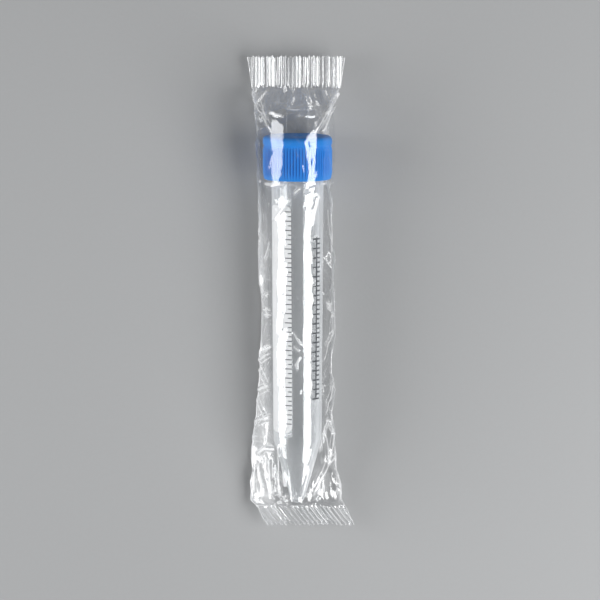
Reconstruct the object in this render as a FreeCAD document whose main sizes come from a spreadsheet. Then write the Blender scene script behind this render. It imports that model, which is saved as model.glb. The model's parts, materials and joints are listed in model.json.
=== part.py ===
import FreeCAD, Part
import math
import os
import Sketcher
from FreeCAD import Placement, Rotation, Vector

# A 15 ml conical screw-cap tube in its crimped film wrapper, lying on its back.
# Row frame: +Y along the wrapper towards the cap, +Z up, origin under the wrapper's middle.
# The tube lies on its cone shoulder and on its wider cap, so its axis climbs a little towards +Y.
# Tube, cap, liner and prints are drawn with the tube's tip at the origin and its axis along +Z,
# and one shared placement lays them down.

VALUES = {
    # tube
    "tube_height": 117.8,
    "barrel_top_od": 16.9,
    "shoulder_od": 15.8,
    "tube_wall": 1.0,
    "cone_height": 20.8,
    "tip_od": 4.9,
    "neck_od": 16.6,
    "neck_height": 12.8,
    "lip_chamfer": 0.3,
    # thread
    "thread_lead": 3.0,
    "thread_turns": 1.5,
    "thread_depth": 0.9,
    "thread_root": 1.8,
    "thread_crest": 0.9,
    "thread_down": 7.8,
    "thread_bite": 0.15,
    "thread_gap": 0.2,
    # cap
    "cap_od": 22.4,
    "cap_height": 14.0,
    "cap_roof": 1.4,
    "cap_edge": 0.9,
    "cap_edge_step": 0.27,
    "rib_count": 72,
    "rib_depth": 0.4,
    "rib_width": 0.56,
    "rib_tip": 0.3,
    "rib_length": 10.6,
    "rib_lift": 0.35,
    "rib_bite": 0.1,
    # liner
    "liner_thickness": 0.8,
    "liner_gap": 0.2,
    "plug_depth": 1.6,
    "plug_wall": 1.0,
    "plug_gap": 0.08,
    # prints
    "ink": 0.05,
    "strip_low": 24.0,
    "strip_top": 98.0,
    "strip_turn": -136.0,
    "strip_sweep": 68.0,
    "tick_first": 27.0,
    "tick_pitch": 3.0,
    "tick_count": 24,
    "tick_line": 0.3,
    "tick_turn": -108.5,
    "tick_sweep": 12.0,
    # wrapper
    "film": 0.2,
    "film_ease": 0.35,
    "lay_width": 36.0,
    "head_seal": 10.5,
    "foot_seal": 6.5,
    "head_space": 15.2,
    "foot_space": 1.5,
    "seal_level": 5.0,
    "seal_plate": 0.5,
    "seal_inset": 0.2,
    "pocket_end": 0.4,
    "crimp_pitch": 1.2,
    "crimp_rib": 0.6,
    "crimp_rise": 0.3,
    "crimp_bite": 0.05,
    "fin_width": 8.0,
    "fin_layers": 0.3,
    "tip_rise": 2.6,
    "tip_half": 15.0,
    "shoulder_half": 13.0,
    "waist_down": 7.0,
    "rim_spare": 1.0,
    "barrel_half": 11.7,
    "cap_half": 7.0,
    "head_half": 9.0,
    # travels that the wrapper leaves room for
    "cap_turns": 1.5,
    "tube_shift": 3.0,
    "travel_spare": 1.0,
}

# Sizes that follow from the values, as expressions on the sheet.
ASSEMBLED = "(Sizes.tube_height + Sizes.liner_thickness + Sizes.cap_roof)"
CAP_START = f"({ASSEMBLED} - Sizes.cap_height)"
NECK_START = "(Sizes.tube_height - Sizes.neck_height)"
CREST_R = "(Sizes.neck_od / 2 + Sizes.thread_depth)"
BORE_R = f"({CREST_R} + Sizes.thread_gap)"
CAP_CORE_R = "(Sizes.cap_od / 2 - Sizes.rib_depth)"
MOUTH_R = "(Sizes.neck_od / 2 - Sizes.tube_wall)"
THREAD_RUN = "(Sizes.thread_lead * Sizes.thread_turns)"
NECK_THREAD_Z = "(Sizes.tube_height - Sizes.thread_down)"
CAP_THREAD_Z = f"({NECK_THREAD_Z} - Sizes.thread_lead / 2)"
BARREL_RUN = f"({NECK_START} - Sizes.cone_height)"

LEAN = f"atan((Sizes.cap_od - Sizes.shoulder_od) / 2 / ({CAP_START} - Sizes.cone_height))"
FLOOR_IN = "(Sizes.fin_layers + Sizes.film + Sizes.film_ease)"
SHOULDER_Z = f"({FLOOR_IN} + Sizes.shoulder_od / 2 / cos({LEAN}))"
TIP_Z = f"({SHOULDER_Z} - Sizes.cone_height * sin({LEAN}))"
WRAP_LENGTH = (
    f"(Sizes.foot_seal + Sizes.foot_space + {ASSEMBLED} + Sizes.head_space + Sizes.head_seal)"
)
FOOT_EDGE = f"(Sizes.foot_seal - {WRAP_LENGTH} / 2)"
TIP_Y = f"({FOOT_EDGE} + Sizes.foot_space)"
HEAD_EDGE = f"({WRAP_LENGTH} / 2 - Sizes.head_seal)"
TRAVEL = "(Sizes.cap_turns * Sizes.thread_lead + Sizes.tube_shift + Sizes.travel_spare)"

RAYS = [math.radians(angle) for angle in range(0, 360, 10)]
TANGENTS = [math.radians(angle) for angle in range(-85, 86)]
POCKET_SHARE = 0.4


def barrel_radius(z):
    """Outside radius of the drafted barrel at a height above the tip, as an expression."""
    return (
        "(Sizes.shoulder_od / 2 + (Sizes.barrel_top_od - Sizes.shoulder_od) / 2"
        f" * ({z} - Sizes.cone_height) / {BARREL_RUN})"
    )


def along(s):
    """Row Y of the point at a distance from the tip along the tube's axis."""
    return f"({TIP_Y} + ({s}) * cos({LEAN}))"


def axis_z(s):
    """Row Z of the tube's axis at a distance from the tip."""
    return f"({TIP_Z} + ({s}) * sin({LEAN}))"


def make_sheet(doc):
    sheet = doc.addObject("Spreadsheet::Sheet", "Sizes")
    for row, (name, value) in enumerate(VALUES.items(), start=1):
        sheet.set(f"A{row}", name)
        sheet.set(f"B{row}", str(value))
        sheet.setAlias(f"B{row}", name)
    doc.recompute()
    return sheet


def number(doc, expression):
    """Present value of an expression, for the first guess of a sketch's geometry."""
    found = doc.Sizes.evalExpression(str(expression))
    return float(getattr(found, "Value", found))


def make_body(doc, name):
    body = doc.addObject("PartDesign::Body", name)
    body.Label = name
    body.AllowCompound = True
    return body


def make_sketch(body, plane, name, offset=None, turn=None):
    """Sketch on one of the body's origin planes, raised or turned about its own Y by a size."""
    sketch = body.newObject("Sketcher::SketchObject", name)
    origin = next(f for f in body.Origin.OriginFeatures if f.Role == plane)
    sketch.AttachmentSupport = [(origin, "")]
    sketch.MapMode = "FlatFace"
    if offset is not None:
        sketch.setExpression("AttachmentOffset.Base.z", offset)
    if turn is not None:
        sketch.AttachmentOffset = Placement(Vector(), Rotation(Vector(0, 1, 0), 90))
        sketch.setExpression("AttachmentOffset.Rotation.Angle", turn)
    return sketch


def outline(doc, sketch, points):
    """Closed polygon whose corners are all driven by expressions (x, y)."""
    corners = [Vector(number(doc, x), number(doc, y), 0) for x, y in points]
    count = len(points)
    for i in range(count):
        sketch.addGeometry(Part.LineSegment(corners[i], corners[(i + 1) % count]), False)
    for i in range(count):
        sketch.addConstraint(Sketcher.Constraint("Coincident", i, 2, (i + 1) % count, 1))
    for i, (x, y) in enumerate(points):
        pin(sketch, "DistanceX", i, 1, corners[i].x, x)
        pin(sketch, "DistanceY", i, 1, corners[i].y, y)


def pin(sketch, kind, edge, end, value, expression):
    """Distance of a point from the sketch's origin, driven by an expression."""
    index = sketch.addConstraint(Sketcher.Constraint(kind, -1, 1, edge, end, value))
    sketch.setExpression(f"Constraints[{index}]", expression)


def revolve(body, sketch, angle="360", name="Turned"):
    feature = body.newObject("PartDesign::Revolution", name)
    feature.Profile = sketch
    feature.ReferenceAxis = (sketch, ["V_Axis"])
    feature.Midplane = True
    feature.setExpression("Angle", angle)
    sketch.Visibility = False
    return feature


def pad(body, sketch, length, name, midplane=False):
    feature = body.newObject("PartDesign::Pad", name)
    feature.Profile = sketch
    feature.SideType = 2 if midplane else 0
    feature.setExpression("Length", length)
    return feature


def lay_down(thing):
    """Places a piece drawn about +Z on the tube's leaning axis."""
    thing.setExpression(
        "Placement",
        f"placement(vector(0; {TIP_Y}; {TIP_Z}); rotation(vector(1; 0; 0); {LEAN} - 90 deg))",
    )


def add_thread(doc, body, name, root, depth, low):
    """Helical ridge on a wall of radius root; a negative depth points inwards."""
    sketch = make_sketch(body, "XZ_Plane", f"{name}_section")
    bite = "Sizes.thread_bite" if depth.startswith("-") else "-Sizes.thread_bite"
    wide, narrow = "Sizes.thread_root / 2", "Sizes.thread_crest / 2"
    points = [
        (f"{root} + {bite}", f"{low} - {wide}"),
        (f"{root} + {depth}", f"{low} - {narrow}"),
        (f"{root} + {depth}", f"{low} + {narrow}"),
        (f"{root} + {bite}", f"{low} + {wide}"),
    ]
    outline(doc, sketch, points)
    doc.recompute()
    helix = body.newObject("PartDesign::AdditiveHelix", name)
    helix.Profile = sketch
    helix.ReferenceAxis = (sketch, ["V_Axis"])
    helix.Mode = "pitch-height-angle"
    helix.Angle = 0
    helix.LeftHanded = False
    helix.Reversed = False
    helix.setExpression("Pitch", "Sizes.thread_lead")
    helix.setExpression("Height", THREAD_RUN)
    doc.recompute()
    return helix


def make_tube(doc):
    """Barrel with draft, round-tipped cone, plain mouth and threaded neck."""
    body = make_body(doc, "tube_body")
    sketch = make_sketch(body, "XZ_Plane", "tube_profile")
    ball = number(doc, "Sizes.tip_od / 2")
    wall = number(doc, "Sizes.tube_wall")
    path = [
        ("Sizes.shoulder_od / 2", "Sizes.cone_height"),
        (barrel_radius(NECK_START), NECK_START),
        ("Sizes.neck_od / 2", NECK_START),
        ("Sizes.neck_od / 2", "Sizes.tube_height - Sizes.lip_chamfer"),
        ("Sizes.neck_od / 2 - Sizes.lip_chamfer", "Sizes.tube_height"),
        (MOUTH_R, "Sizes.tube_height"),
        ("Sizes.shoulder_od / 2 - Sizes.tube_wall", "Sizes.cone_height"),
    ]
    spots = [Vector(number(doc, x), number(doc, y), 0) for x, y in path]
    centre = Vector(0, ball, 0)
    lean = math.atan2(spots[0].x - ball, spots[0].y - ball)
    out = Vector(math.cos(lean), -math.sin(lean), 0)
    circle = Part.Circle(centre, Vector(0, 0, 1), ball)
    inner_circle = Part.Circle(centre, Vector(0, 0, 1), ball - wall)
    sketch.addGeometry(Part.ArcOfCircle(circle, -math.pi / 2, -lean), False)
    sketch.addGeometry(Part.LineSegment(centre + out * ball, spots[0]), False)
    for start, end in zip(spots, spots[1:]):
        sketch.addGeometry(Part.LineSegment(start, end), False)
    sketch.addGeometry(Part.LineSegment(spots[-1], centre + out * (ball - wall)), False)
    inner_arc = sketch.addGeometry(Part.ArcOfCircle(inner_circle, -math.pi / 2, -lean), False)
    closing = sketch.addGeometry(
        Part.LineSegment(Vector(0, wall, 0), Vector(0, 0, 0)), False
    )
    cone_line = inner_arc - 1
    sketch.addConstraint(Sketcher.Constraint("Tangent", 0, 2, 1, 1))
    for i in range(1, cone_line):
        sketch.addConstraint(Sketcher.Constraint("Coincident", i, 2, i + 1, 1))
    sketch.addConstraint(Sketcher.Constraint("Tangent", cone_line, 2, inner_arc, 2))
    sketch.addConstraint(Sketcher.Constraint("Coincident", inner_arc, 1, closing, 1))
    sketch.addConstraint(Sketcher.Constraint("Coincident", closing, 2, 0, 1))
    sketch.addConstraint(Sketcher.Constraint("Coincident", closing, 2, -1, 1))
    sketch.addConstraint(Sketcher.Constraint("PointOnObject", 0, 3, -2))
    sketch.addConstraint(Sketcher.Constraint("Coincident", inner_arc, 3, 0, 3))
    sketch.addConstraint(Sketcher.Constraint("PointOnObject", inner_arc, 1, -2))
    for arc, size, expression in (
        (0, ball, "Sizes.tip_od / 2"),
        (inner_arc, ball - wall, "Sizes.tip_od / 2 - Sizes.tube_wall"),
    ):
        index = sketch.addConstraint(Sketcher.Constraint("Radius", arc, size))
        sketch.setExpression(f"Constraints[{index}]", expression)
    for i, (x, y) in enumerate(path, start=1):
        pin(sketch, "DistanceX", i, 2, spots[i - 1].x, x)
        pin(sketch, "DistanceY", i, 2, spots[i - 1].y, y)
    revolve(body, sketch)
    doc.recompute()
    add_thread(doc, body, "neck_thread", "Sizes.neck_od / 2", "Sizes.thread_depth", NECK_THREAD_Z)
    lay_down(body)
    return body


def make_cap(doc):
    """Skirt and roof turned in one, fine ribs round the skirt, thread inside."""
    body = make_body(doc, "screw_cap")
    sketch = make_sketch(body, "XZ_Plane", "cap_profile")
    roof_in = f"({ASSEMBLED} - Sizes.cap_roof)"
    band_low = f"({CAP_START} + Sizes.rib_lift + Sizes.rib_length)"
    outline(
        doc,
        sketch,
        [
            (BORE_R, CAP_START),
            (CAP_CORE_R, CAP_START),
            (CAP_CORE_R, band_low),
            ("Sizes.cap_od / 2", f"{band_low} + Sizes.rib_depth"),
            ("Sizes.cap_od / 2", f"{ASSEMBLED} - Sizes.cap_edge"),
            ("Sizes.cap_od / 2 - Sizes.cap_edge_step", f"{ASSEMBLED} - Sizes.cap_edge_step"),
            ("Sizes.cap_od / 2 - Sizes.cap_edge", ASSEMBLED),
            ("0", ASSEMBLED),
            ("0", roof_in),
            (BORE_R, roof_in),
        ],
    )
    revolve(body, sketch)
    doc.recompute()
    add_thread(doc, body, "cap_thread", BORE_R, "-Sizes.thread_depth", CAP_THREAD_Z)
    add_ribs(doc, body)
    lay_down(body)
    return body


def add_ribs(doc, body):
    base = f"({CAP_START} + Sizes.rib_lift)"
    sketch = make_sketch(body, "XY_Plane", "rib_section", offset=base)
    inner, outer = f"{CAP_CORE_R} - Sizes.rib_bite", "Sizes.cap_od / 2"
    outline(
        doc,
        sketch,
        [
            (inner, "-Sizes.rib_width / 2"),
            (outer, "-Sizes.rib_tip / 2"),
            (outer, "Sizes.rib_tip / 2"),
            (inner, "Sizes.rib_width / 2"),
        ],
    )
    doc.recompute()
    rib = pad(body, sketch, "Sizes.rib_length + Sizes.rib_depth / 2", "rib")
    doc.recompute()
    ring = body.newObject("PartDesign::PolarPattern", "rib_ring")
    ring.Originals = [rib]
    ring.Axis = (sketch, ["N_Axis"])
    ring.Angle = 360
    ring.setExpression("Occurrences", "Sizes.rib_count")
    body.Tip = ring


def make_liner(doc):
    """Soft disc under the cap's roof with a short plug that enters the mouth."""
    body = make_body(doc, "cap_liner")
    sketch = make_sketch(body, "XZ_Plane", "liner_profile")
    plug_r = f"({MOUTH_R} - Sizes.plug_gap)"
    under, top = "Sizes.tube_height", "Sizes.tube_height + Sizes.liner_thickness"
    low = "Sizes.tube_height - Sizes.plug_depth"
    outline(
        doc,
        sketch,
        [
            ("0", under),
            (f"{plug_r} - Sizes.plug_wall", under),
            (f"{plug_r} - Sizes.plug_wall", low),
            (f"{plug_r} - Sizes.plug_wall / 2", low),
            (plug_r, f"{low} + Sizes.plug_depth / 2"),
            (plug_r, under),
            (f"{BORE_R} - Sizes.liner_gap", under),
            (f"{BORE_R} - Sizes.liner_gap", top),
            ("0", top),
        ],
    )
    revolve(body, sketch)
    lay_down(body)
    return body


def print_profile(low, high, lift):
    """Section of one coat of ink on the drafted barrel, lift coats above the wall."""
    inside, outside = f"Sizes.ink * {lift}", f"Sizes.ink * {lift + 1}"
    return [
        (f"{barrel_radius(low)} + {inside}", low),
        (f"{barrel_radius(low)} + {outside}", low),
        (f"{barrel_radius(high)} + {outside}", high),
        (f"{barrel_radius(high)} + {inside}", high),
    ]


def make_strip(doc):
    """White writing strip, one coat of ink on the barrel."""
    body = make_body(doc, "writing_strip")
    sketch = make_sketch(body, "XZ_Plane", "strip_profile", turn="Sizes.strip_turn")
    outline(doc, sketch, print_profile("Sizes.strip_low", "Sizes.strip_top", 0))
    revolve(body, sketch, "Sizes.strip_sweep")
    lay_down(body)
    return body


def make_ticks(doc):
    """Volume marks, a second coat of ink on the strip, one short arc for each mark."""
    body = make_body(doc, "graduation_ticks")
    for i in range(int(number(doc, "Sizes.tick_count"))):
        sketch = make_sketch(body, "XZ_Plane", f"tick_profile_{i + 1}", turn="Sizes.tick_turn")
        low = f"(Sizes.tick_first + {i} * Sizes.tick_pitch)"
        outline(doc, sketch, print_profile(low, f"({low} + Sizes.tick_line)", 1))
        revolve(body, sketch, "Sizes.tick_sweep", f"tick_{i + 1}")
    lay_down(body)
    return body


def round_section(s, half, base, radius, level=None):
    """Film section round the tube or cap at a distance from the tip, with the film's ease.

    level is the distance whose axis height it takes, where that isn't its own.
    """
    centre = axis_z(level or s)
    return (along(s), half, base, centre, f"{radius} + Sizes.film + Sizes.film_ease", "0")


def hull_sections():
    """Film sections from foot to head, each a tuple of expressions.

    They are row Y, the base's half width and Z, the Z and radius of the round top, and the
    half width of the top's straight middle. Each section is the film pulled tight round a flat
    base and the round thing that lies on it; at a seal it is nearly flat.
    """
    seal_half = "Sizes.lay_width / 2 - Sizes.seal_inset"
    flat = (
        "Sizes.seal_level - Sizes.seal_plate",
        "Sizes.seal_level",
        "Sizes.seal_plate",
        f"{seal_half} - Sizes.seal_plate",
    )
    floor = "Sizes.fin_layers"
    waist = f"({CAP_START} - Sizes.waist_down)"
    return [
        (FOOT_EDGE, seal_half, *flat),
        round_section("0", "Sizes.tip_half", "Sizes.tip_rise", "Sizes.tip_od / 2"),
        round_section("Sizes.cone_height", "Sizes.shoulder_half", floor, "Sizes.shoulder_od / 2"),
        round_section(waist, "Sizes.barrel_half", floor, barrel_radius(waist)),
        round_section(
            f"{CAP_START} - Sizes.rim_spare", "Sizes.cap_half", floor, "Sizes.cap_od / 2", CAP_START
        ),
        round_section(f"{ASSEMBLED} + {TRAVEL}", "Sizes.head_half", floor, "Sizes.cap_od / 2"),
        (HEAD_EDGE, seal_half, *flat),
    ]


def hull_reach(section, angle, wall):
    """Distance from a section's middle to its outline, wall in from the film's outside.

    The outline is the hull of a flat base and a round top, found from its tangent lines.
    """
    _, half, base, centre, radius, top_half = section
    reaches = []
    for lean in TANGENTS:
        across, up = math.cos(angle + lean), math.sin(angle + lean)
        furthest = max(
            abs(across) * half + up * base, abs(across) * top_half + up * centre + radius
        )
        reaches.append((furthest - wall - up * middle_of(section)) / math.cos(lean))
    return min(reaches)


def middle_of(section):
    _, _, base, centre, radius, _ = section
    return (base + centre + radius) / 2


def film_ring(y, middle, reaches):
    """Corners of a closed polygon across the wrapper, one for each ray."""
    return [
        Vector(reach * math.cos(angle), y, middle + reach * math.sin(angle))
        for angle, reach in zip(RAYS, reaches)
    ]


def skin(rings):
    """Closed solid through the rings, with two flat triangles between each pair of corners."""
    faces = [Part.Face(Part.makePolygon(ring + ring[:1])) for ring in (rings[0], rings[-1])]
    for near, far in zip(rings, rings[1:]):
        for i in range(len(near)):
            a, b, c, d = near[i], near[(i + 1) % len(near)], far[(i + 1) % len(near)], far[i]
            if a.x + b.x < 0:
                a, b, c, d = b, a, d, c
            for corners in ((a, b, c), (a, c, d)):
                faces.append(Part.Face(Part.makePolygon([*corners, corners[0]])))
    shell = Part.makeShell(faces)
    shell.sewShape()
    return Part.makeSolid(shell)


def mixed(a, b, share):
    return a + (b - a) * share


def pocket_end(y, end, neighbour, wall):
    """Ring that closes the hollow just inside a seal, a small copy of the film's own section."""
    share = (y - end[0]) / (neighbour[0] - end[0])
    reaches = [
        POCKET_SHARE * mixed(hull_reach(end, a, wall), hull_reach(neighbour, a, wall), share)
        for a in RAYS
    ]
    return film_ring(y, mixed(middle_of(end), middle_of(neighbour), share), reaches)


def make_sleeve(doc):
    """The film between its two crimps: a closed pillow round the tube, with room at the head."""
    sections = [[number(doc, size) for size in section] for section in hull_sections()]
    film, end = number(doc, "Sizes.film"), number(doc, "Sizes.pocket_end")
    outside, hollow = (
        [
            film_ring(s[0], middle_of(s), [hull_reach(s, angle, wall) for angle in RAYS])
            for s in sections
        ]
        for wall in (0.0, film)
    )
    hollow[0] = pocket_end(sections[0][0] + end, sections[0], sections[1], 0.0)
    hollow[-1] = pocket_end(sections[-1][0] - end, sections[-1], sections[-2], 0.0)
    sleeve = doc.addObject("Part::Feature", "film_sleeve")
    sleeve.Label = "film_sleeve"
    sleeve.Shape = skin(outside).cut(skin(hollow))
    sleeve.Placement = Placement()
    return sleeve


def make_crimp(doc, name, low, length):
    """Welded end of the film: a flat plate with pressed ribs that run along the wrapper."""
    body = make_body(doc, name)
    half = "Sizes.lay_width / 2"
    floor = "Sizes.seal_level - Sizes.seal_plate / 2"
    plate = make_sketch(body, "XY_Plane", f"{name}_plate", offset=floor)
    high = f"{low} + {length}"
    outline(doc, plate, [(f"-{half}", low), (half, low), (half, high), (f"-{half}", high)])
    pad(body, plate, "Sizes.seal_plate", f"{name}_weld")
    doc.recompute()
    top = "Sizes.seal_level + Sizes.seal_plate / 2"
    ridge = make_sketch(body, "XY_Plane", f"{name}_ridge", offset=f"{top} - Sizes.crimp_bite")
    left, right = f"-{half}", f"Sizes.crimp_rib - {half}"
    outline(doc, ridge, [(left, low), (right, low), (right, high), (left, high)])
    doc.recompute()
    rib = pad(body, ridge, "Sizes.crimp_rise + Sizes.crimp_bite", f"{name}_rib")
    doc.recompute()
    row = body.newObject("PartDesign::LinearPattern", f"{name}_ribs")
    row.Originals = [rib]
    row.Direction = (plate, ["H_Axis"])
    count = "floor((Sizes.lay_width - Sizes.crimp_rib) / Sizes.crimp_pitch) + 1"
    row.setExpression("Length", f"({count} - 1) * Sizes.crimp_pitch")
    row.setExpression("Occurrences", count)
    body.Tip = row
    return body


def make_fin(doc):
    """Lengthwise back seam, folded flat under the sleeve's base."""
    body = make_body(doc, "back_fin_seal")
    sketch = make_sketch(body, "YZ_Plane", "fin_side")
    foot, tip, shoulder, *_, head, end = hull_sections()
    upper = [(y, base) for y, _, base, *_ in (foot, tip, shoulder, head, end)]
    lower = [(y, f"{base} - Sizes.fin_layers") for y, base in upper]
    outline(doc, sketch, lower + upper[::-1])
    pad(body, sketch, "Sizes.fin_width", "fin", midplane=True)
    return body


def build():
    doc = FreeCAD.newDocument("wrapped_tube")
    make_sheet(doc)
    made = [
        make_tube(doc),
        make_cap(doc),
        make_liner(doc),
        make_strip(doc),
        make_ticks(doc),
        make_sleeve(doc),
        make_crimp(doc, "head_crimp_seal", HEAD_EDGE, "Sizes.head_seal"),
        make_crimp(doc, "foot_crimp_seal", f"{FOOT_EDGE} - Sizes.foot_seal", "Sizes.foot_seal"),
        make_fin(doc),
    ]
    doc.recompute()
    return doc, made


def write(doc, made):
    for thing in doc.Objects:
        if {"Invalid", "Error"} & set(thing.State):
            raise RuntimeError(f"{thing.Label} did not build: {thing.State}")
    for piece in made:
        if piece.Shape.isNull() or not piece.Shape.isValid():
            raise RuntimeError(f"{piece.Label} has no valid shape")
    os.makedirs("parts", exist_ok=True)
    for piece in made:
        piece.Shape.exportStep(os.path.join("parts", f"{piece.Label}.step"))
        box = piece.Shape.BoundBox
        print(
            f"{piece.Label}: {len(piece.Shape.Solids)} solids, {piece.Shape.Volume:.1f} mm3,"
            f" x {box.XMin:.2f} {box.XMax:.2f}, y {box.YMin:.2f} {box.YMax:.2f},"
            f" z {box.ZMin:.2f} {box.ZMax:.2f}"
        )


document, pieces = build()
write(document, pieces)
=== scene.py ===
import json
import logging
import math
from dataclasses import dataclass, field
from enum import Enum
from typing import Iterable, Sequence, Union

import bmesh
import bpy
import numpy as np
from mathutils import Matrix, Vector


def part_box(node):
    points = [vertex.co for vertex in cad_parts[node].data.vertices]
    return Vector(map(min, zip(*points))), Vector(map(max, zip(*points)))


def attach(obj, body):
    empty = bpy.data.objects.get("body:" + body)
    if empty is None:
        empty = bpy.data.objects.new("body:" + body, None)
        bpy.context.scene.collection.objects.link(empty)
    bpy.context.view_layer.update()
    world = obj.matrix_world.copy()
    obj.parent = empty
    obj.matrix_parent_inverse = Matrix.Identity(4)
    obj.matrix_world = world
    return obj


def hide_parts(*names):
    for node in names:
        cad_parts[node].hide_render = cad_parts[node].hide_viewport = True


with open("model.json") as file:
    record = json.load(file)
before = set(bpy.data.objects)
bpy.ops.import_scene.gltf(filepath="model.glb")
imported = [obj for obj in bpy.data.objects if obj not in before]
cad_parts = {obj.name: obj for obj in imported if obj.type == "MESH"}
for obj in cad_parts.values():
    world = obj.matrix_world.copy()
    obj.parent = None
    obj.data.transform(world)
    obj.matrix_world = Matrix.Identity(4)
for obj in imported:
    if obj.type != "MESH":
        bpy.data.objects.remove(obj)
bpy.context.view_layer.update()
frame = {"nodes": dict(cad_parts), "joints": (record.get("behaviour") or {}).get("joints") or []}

LOG = logging.getLogger("wrapped_tube")
MM = 0.001
PLASTIC_IOR = 1.49
THREAD_HALF_WIDTHS = (0.9, 0.45)
THREAD_BITE = 0.15
CLEAR_BOUNCES = 32

Number = Union[int, float]
Term = Union["Value", int, float]
Point = tuple[float, float]
Section = tuple[float, ...]


# ---------------------------------------------------------------- node trees


class Value:
    """A socket of a node tree that can be used in Python sums."""

    def __init__(self, maker: "TreeMaker", socket: bpy.types.NodeSocket) -> None:
        """Keeps the tree and the output socket.

        Args:
            maker: The tree that the socket is in.
            socket: An output socket that holds one number.
        """
        self.maker = maker
        self.socket = socket

    def _math(self, operation: str, *terms: Term) -> "Value":
        """Adds one Math node.

        Args:
            operation: The node's operation.
            terms: Its inputs in order.

        Returns:
            The node's result.
        """
        inputs = dict(enumerate(terms))
        made = self.maker.node("ShaderNodeMath", {"operation": operation}, inputs)
        return Value(self.maker, made.outputs[0])

    def __add__(self, other: Term) -> "Value":
        """Sum."""
        return self._math("ADD", self, other)

    __radd__ = __add__

    def __sub__(self, other: Term) -> "Value":
        """Difference."""
        return self._math("SUBTRACT", self, other)

    def __rsub__(self, other: Term) -> "Value":
        """Difference with the number first."""
        return self._math("SUBTRACT", other, self)

    def __mul__(self, other: Term) -> "Value":
        """Product."""
        return self._math("MULTIPLY", self, other)

    __rmul__ = __mul__

    def __truediv__(self, other: Term) -> "Value":
        """Quotient."""
        return self._math("DIVIDE", self, other)

    def __pow__(self, other: Term) -> "Value":
        """Power."""
        return self._math("POWER", self, other)

    def __abs__(self) -> "Value":
        """Size without sign."""
        return self._math("ABSOLUTE", self)

    def __mod__(self, other: Term) -> "Value":
        """Rest of a division."""
        return self._math("FLOORED_MODULO", self, other)

    def sin(self) -> "Value":
        """Sine of an angle in radians."""
        return self._math("SINE", self)

    def cos(self) -> "Value":
        """Cosine of an angle in radians."""
        return self._math("COSINE", self)

    def above(self, other: Term) -> "Value":
        """1 where this is greater, else 0."""
        return self._math("GREATER_THAN", self, other)

    def limited(self, low: Number = 0.0, high: Number = 1.0) -> "Value":
        """Value held between two numbers."""
        return self._math("MINIMUM", self._math("MAXIMUM", self, low), high)


class TreeMaker:
    """Adds nodes to a material's or a geometry tree."""

    def __init__(self, tree: bpy.types.NodeTree) -> None:
        """Keeps the tree.

        Args:
            tree: The node tree that grows.
        """
        self.tree = tree

    def node(
        self, kind: str, settings: dict | None = None, inputs: dict | None = None
    ) -> bpy.types.Node:
        """Adds a node.

        Args:
            kind: The node's type.
            settings: Its properties.
            inputs: Values or links, by socket name or number.

        Returns:
            The new node.
        """
        made = self.tree.nodes.new(kind)
        for name, value in (settings or {}).items():
            setattr(made, name, value)
        self.fill(made, inputs or {})
        return made

    def fill(self, node: bpy.types.Node, inputs: dict) -> None:
        """Sets or links sockets of a node.

        Args:
            node: The node.
            inputs: Values or links, by socket name or number.
        """
        for name, value in inputs.items():
            socket = node.inputs[name]
            if isinstance(value, Value):
                self.tree.links.new(value.socket, socket)
            elif isinstance(value, bpy.types.NodeSocket):
                self.tree.links.new(value, socket)
            else:
                socket.default_value = value

    def value(self, socket: bpy.types.NodeSocket) -> Value:
        """A socket as a value for sums."""
        return Value(self, socket)

    def split(self, vector: bpy.types.NodeSocket) -> tuple[Value, Value, Value]:
        """The three numbers of a vector socket."""
        made = self.node("ShaderNodeSeparateXYZ", inputs={0: vector})
        return tuple(Value(self, socket) for socket in made.outputs)

    def joined(self, x: Term, y: Term, z: Term) -> bpy.types.NodeSocket:
        """A vector socket made of three numbers."""
        return self.node("ShaderNodeCombineXYZ", inputs={0: x, 1: y, 2: z}).outputs[0]


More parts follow.
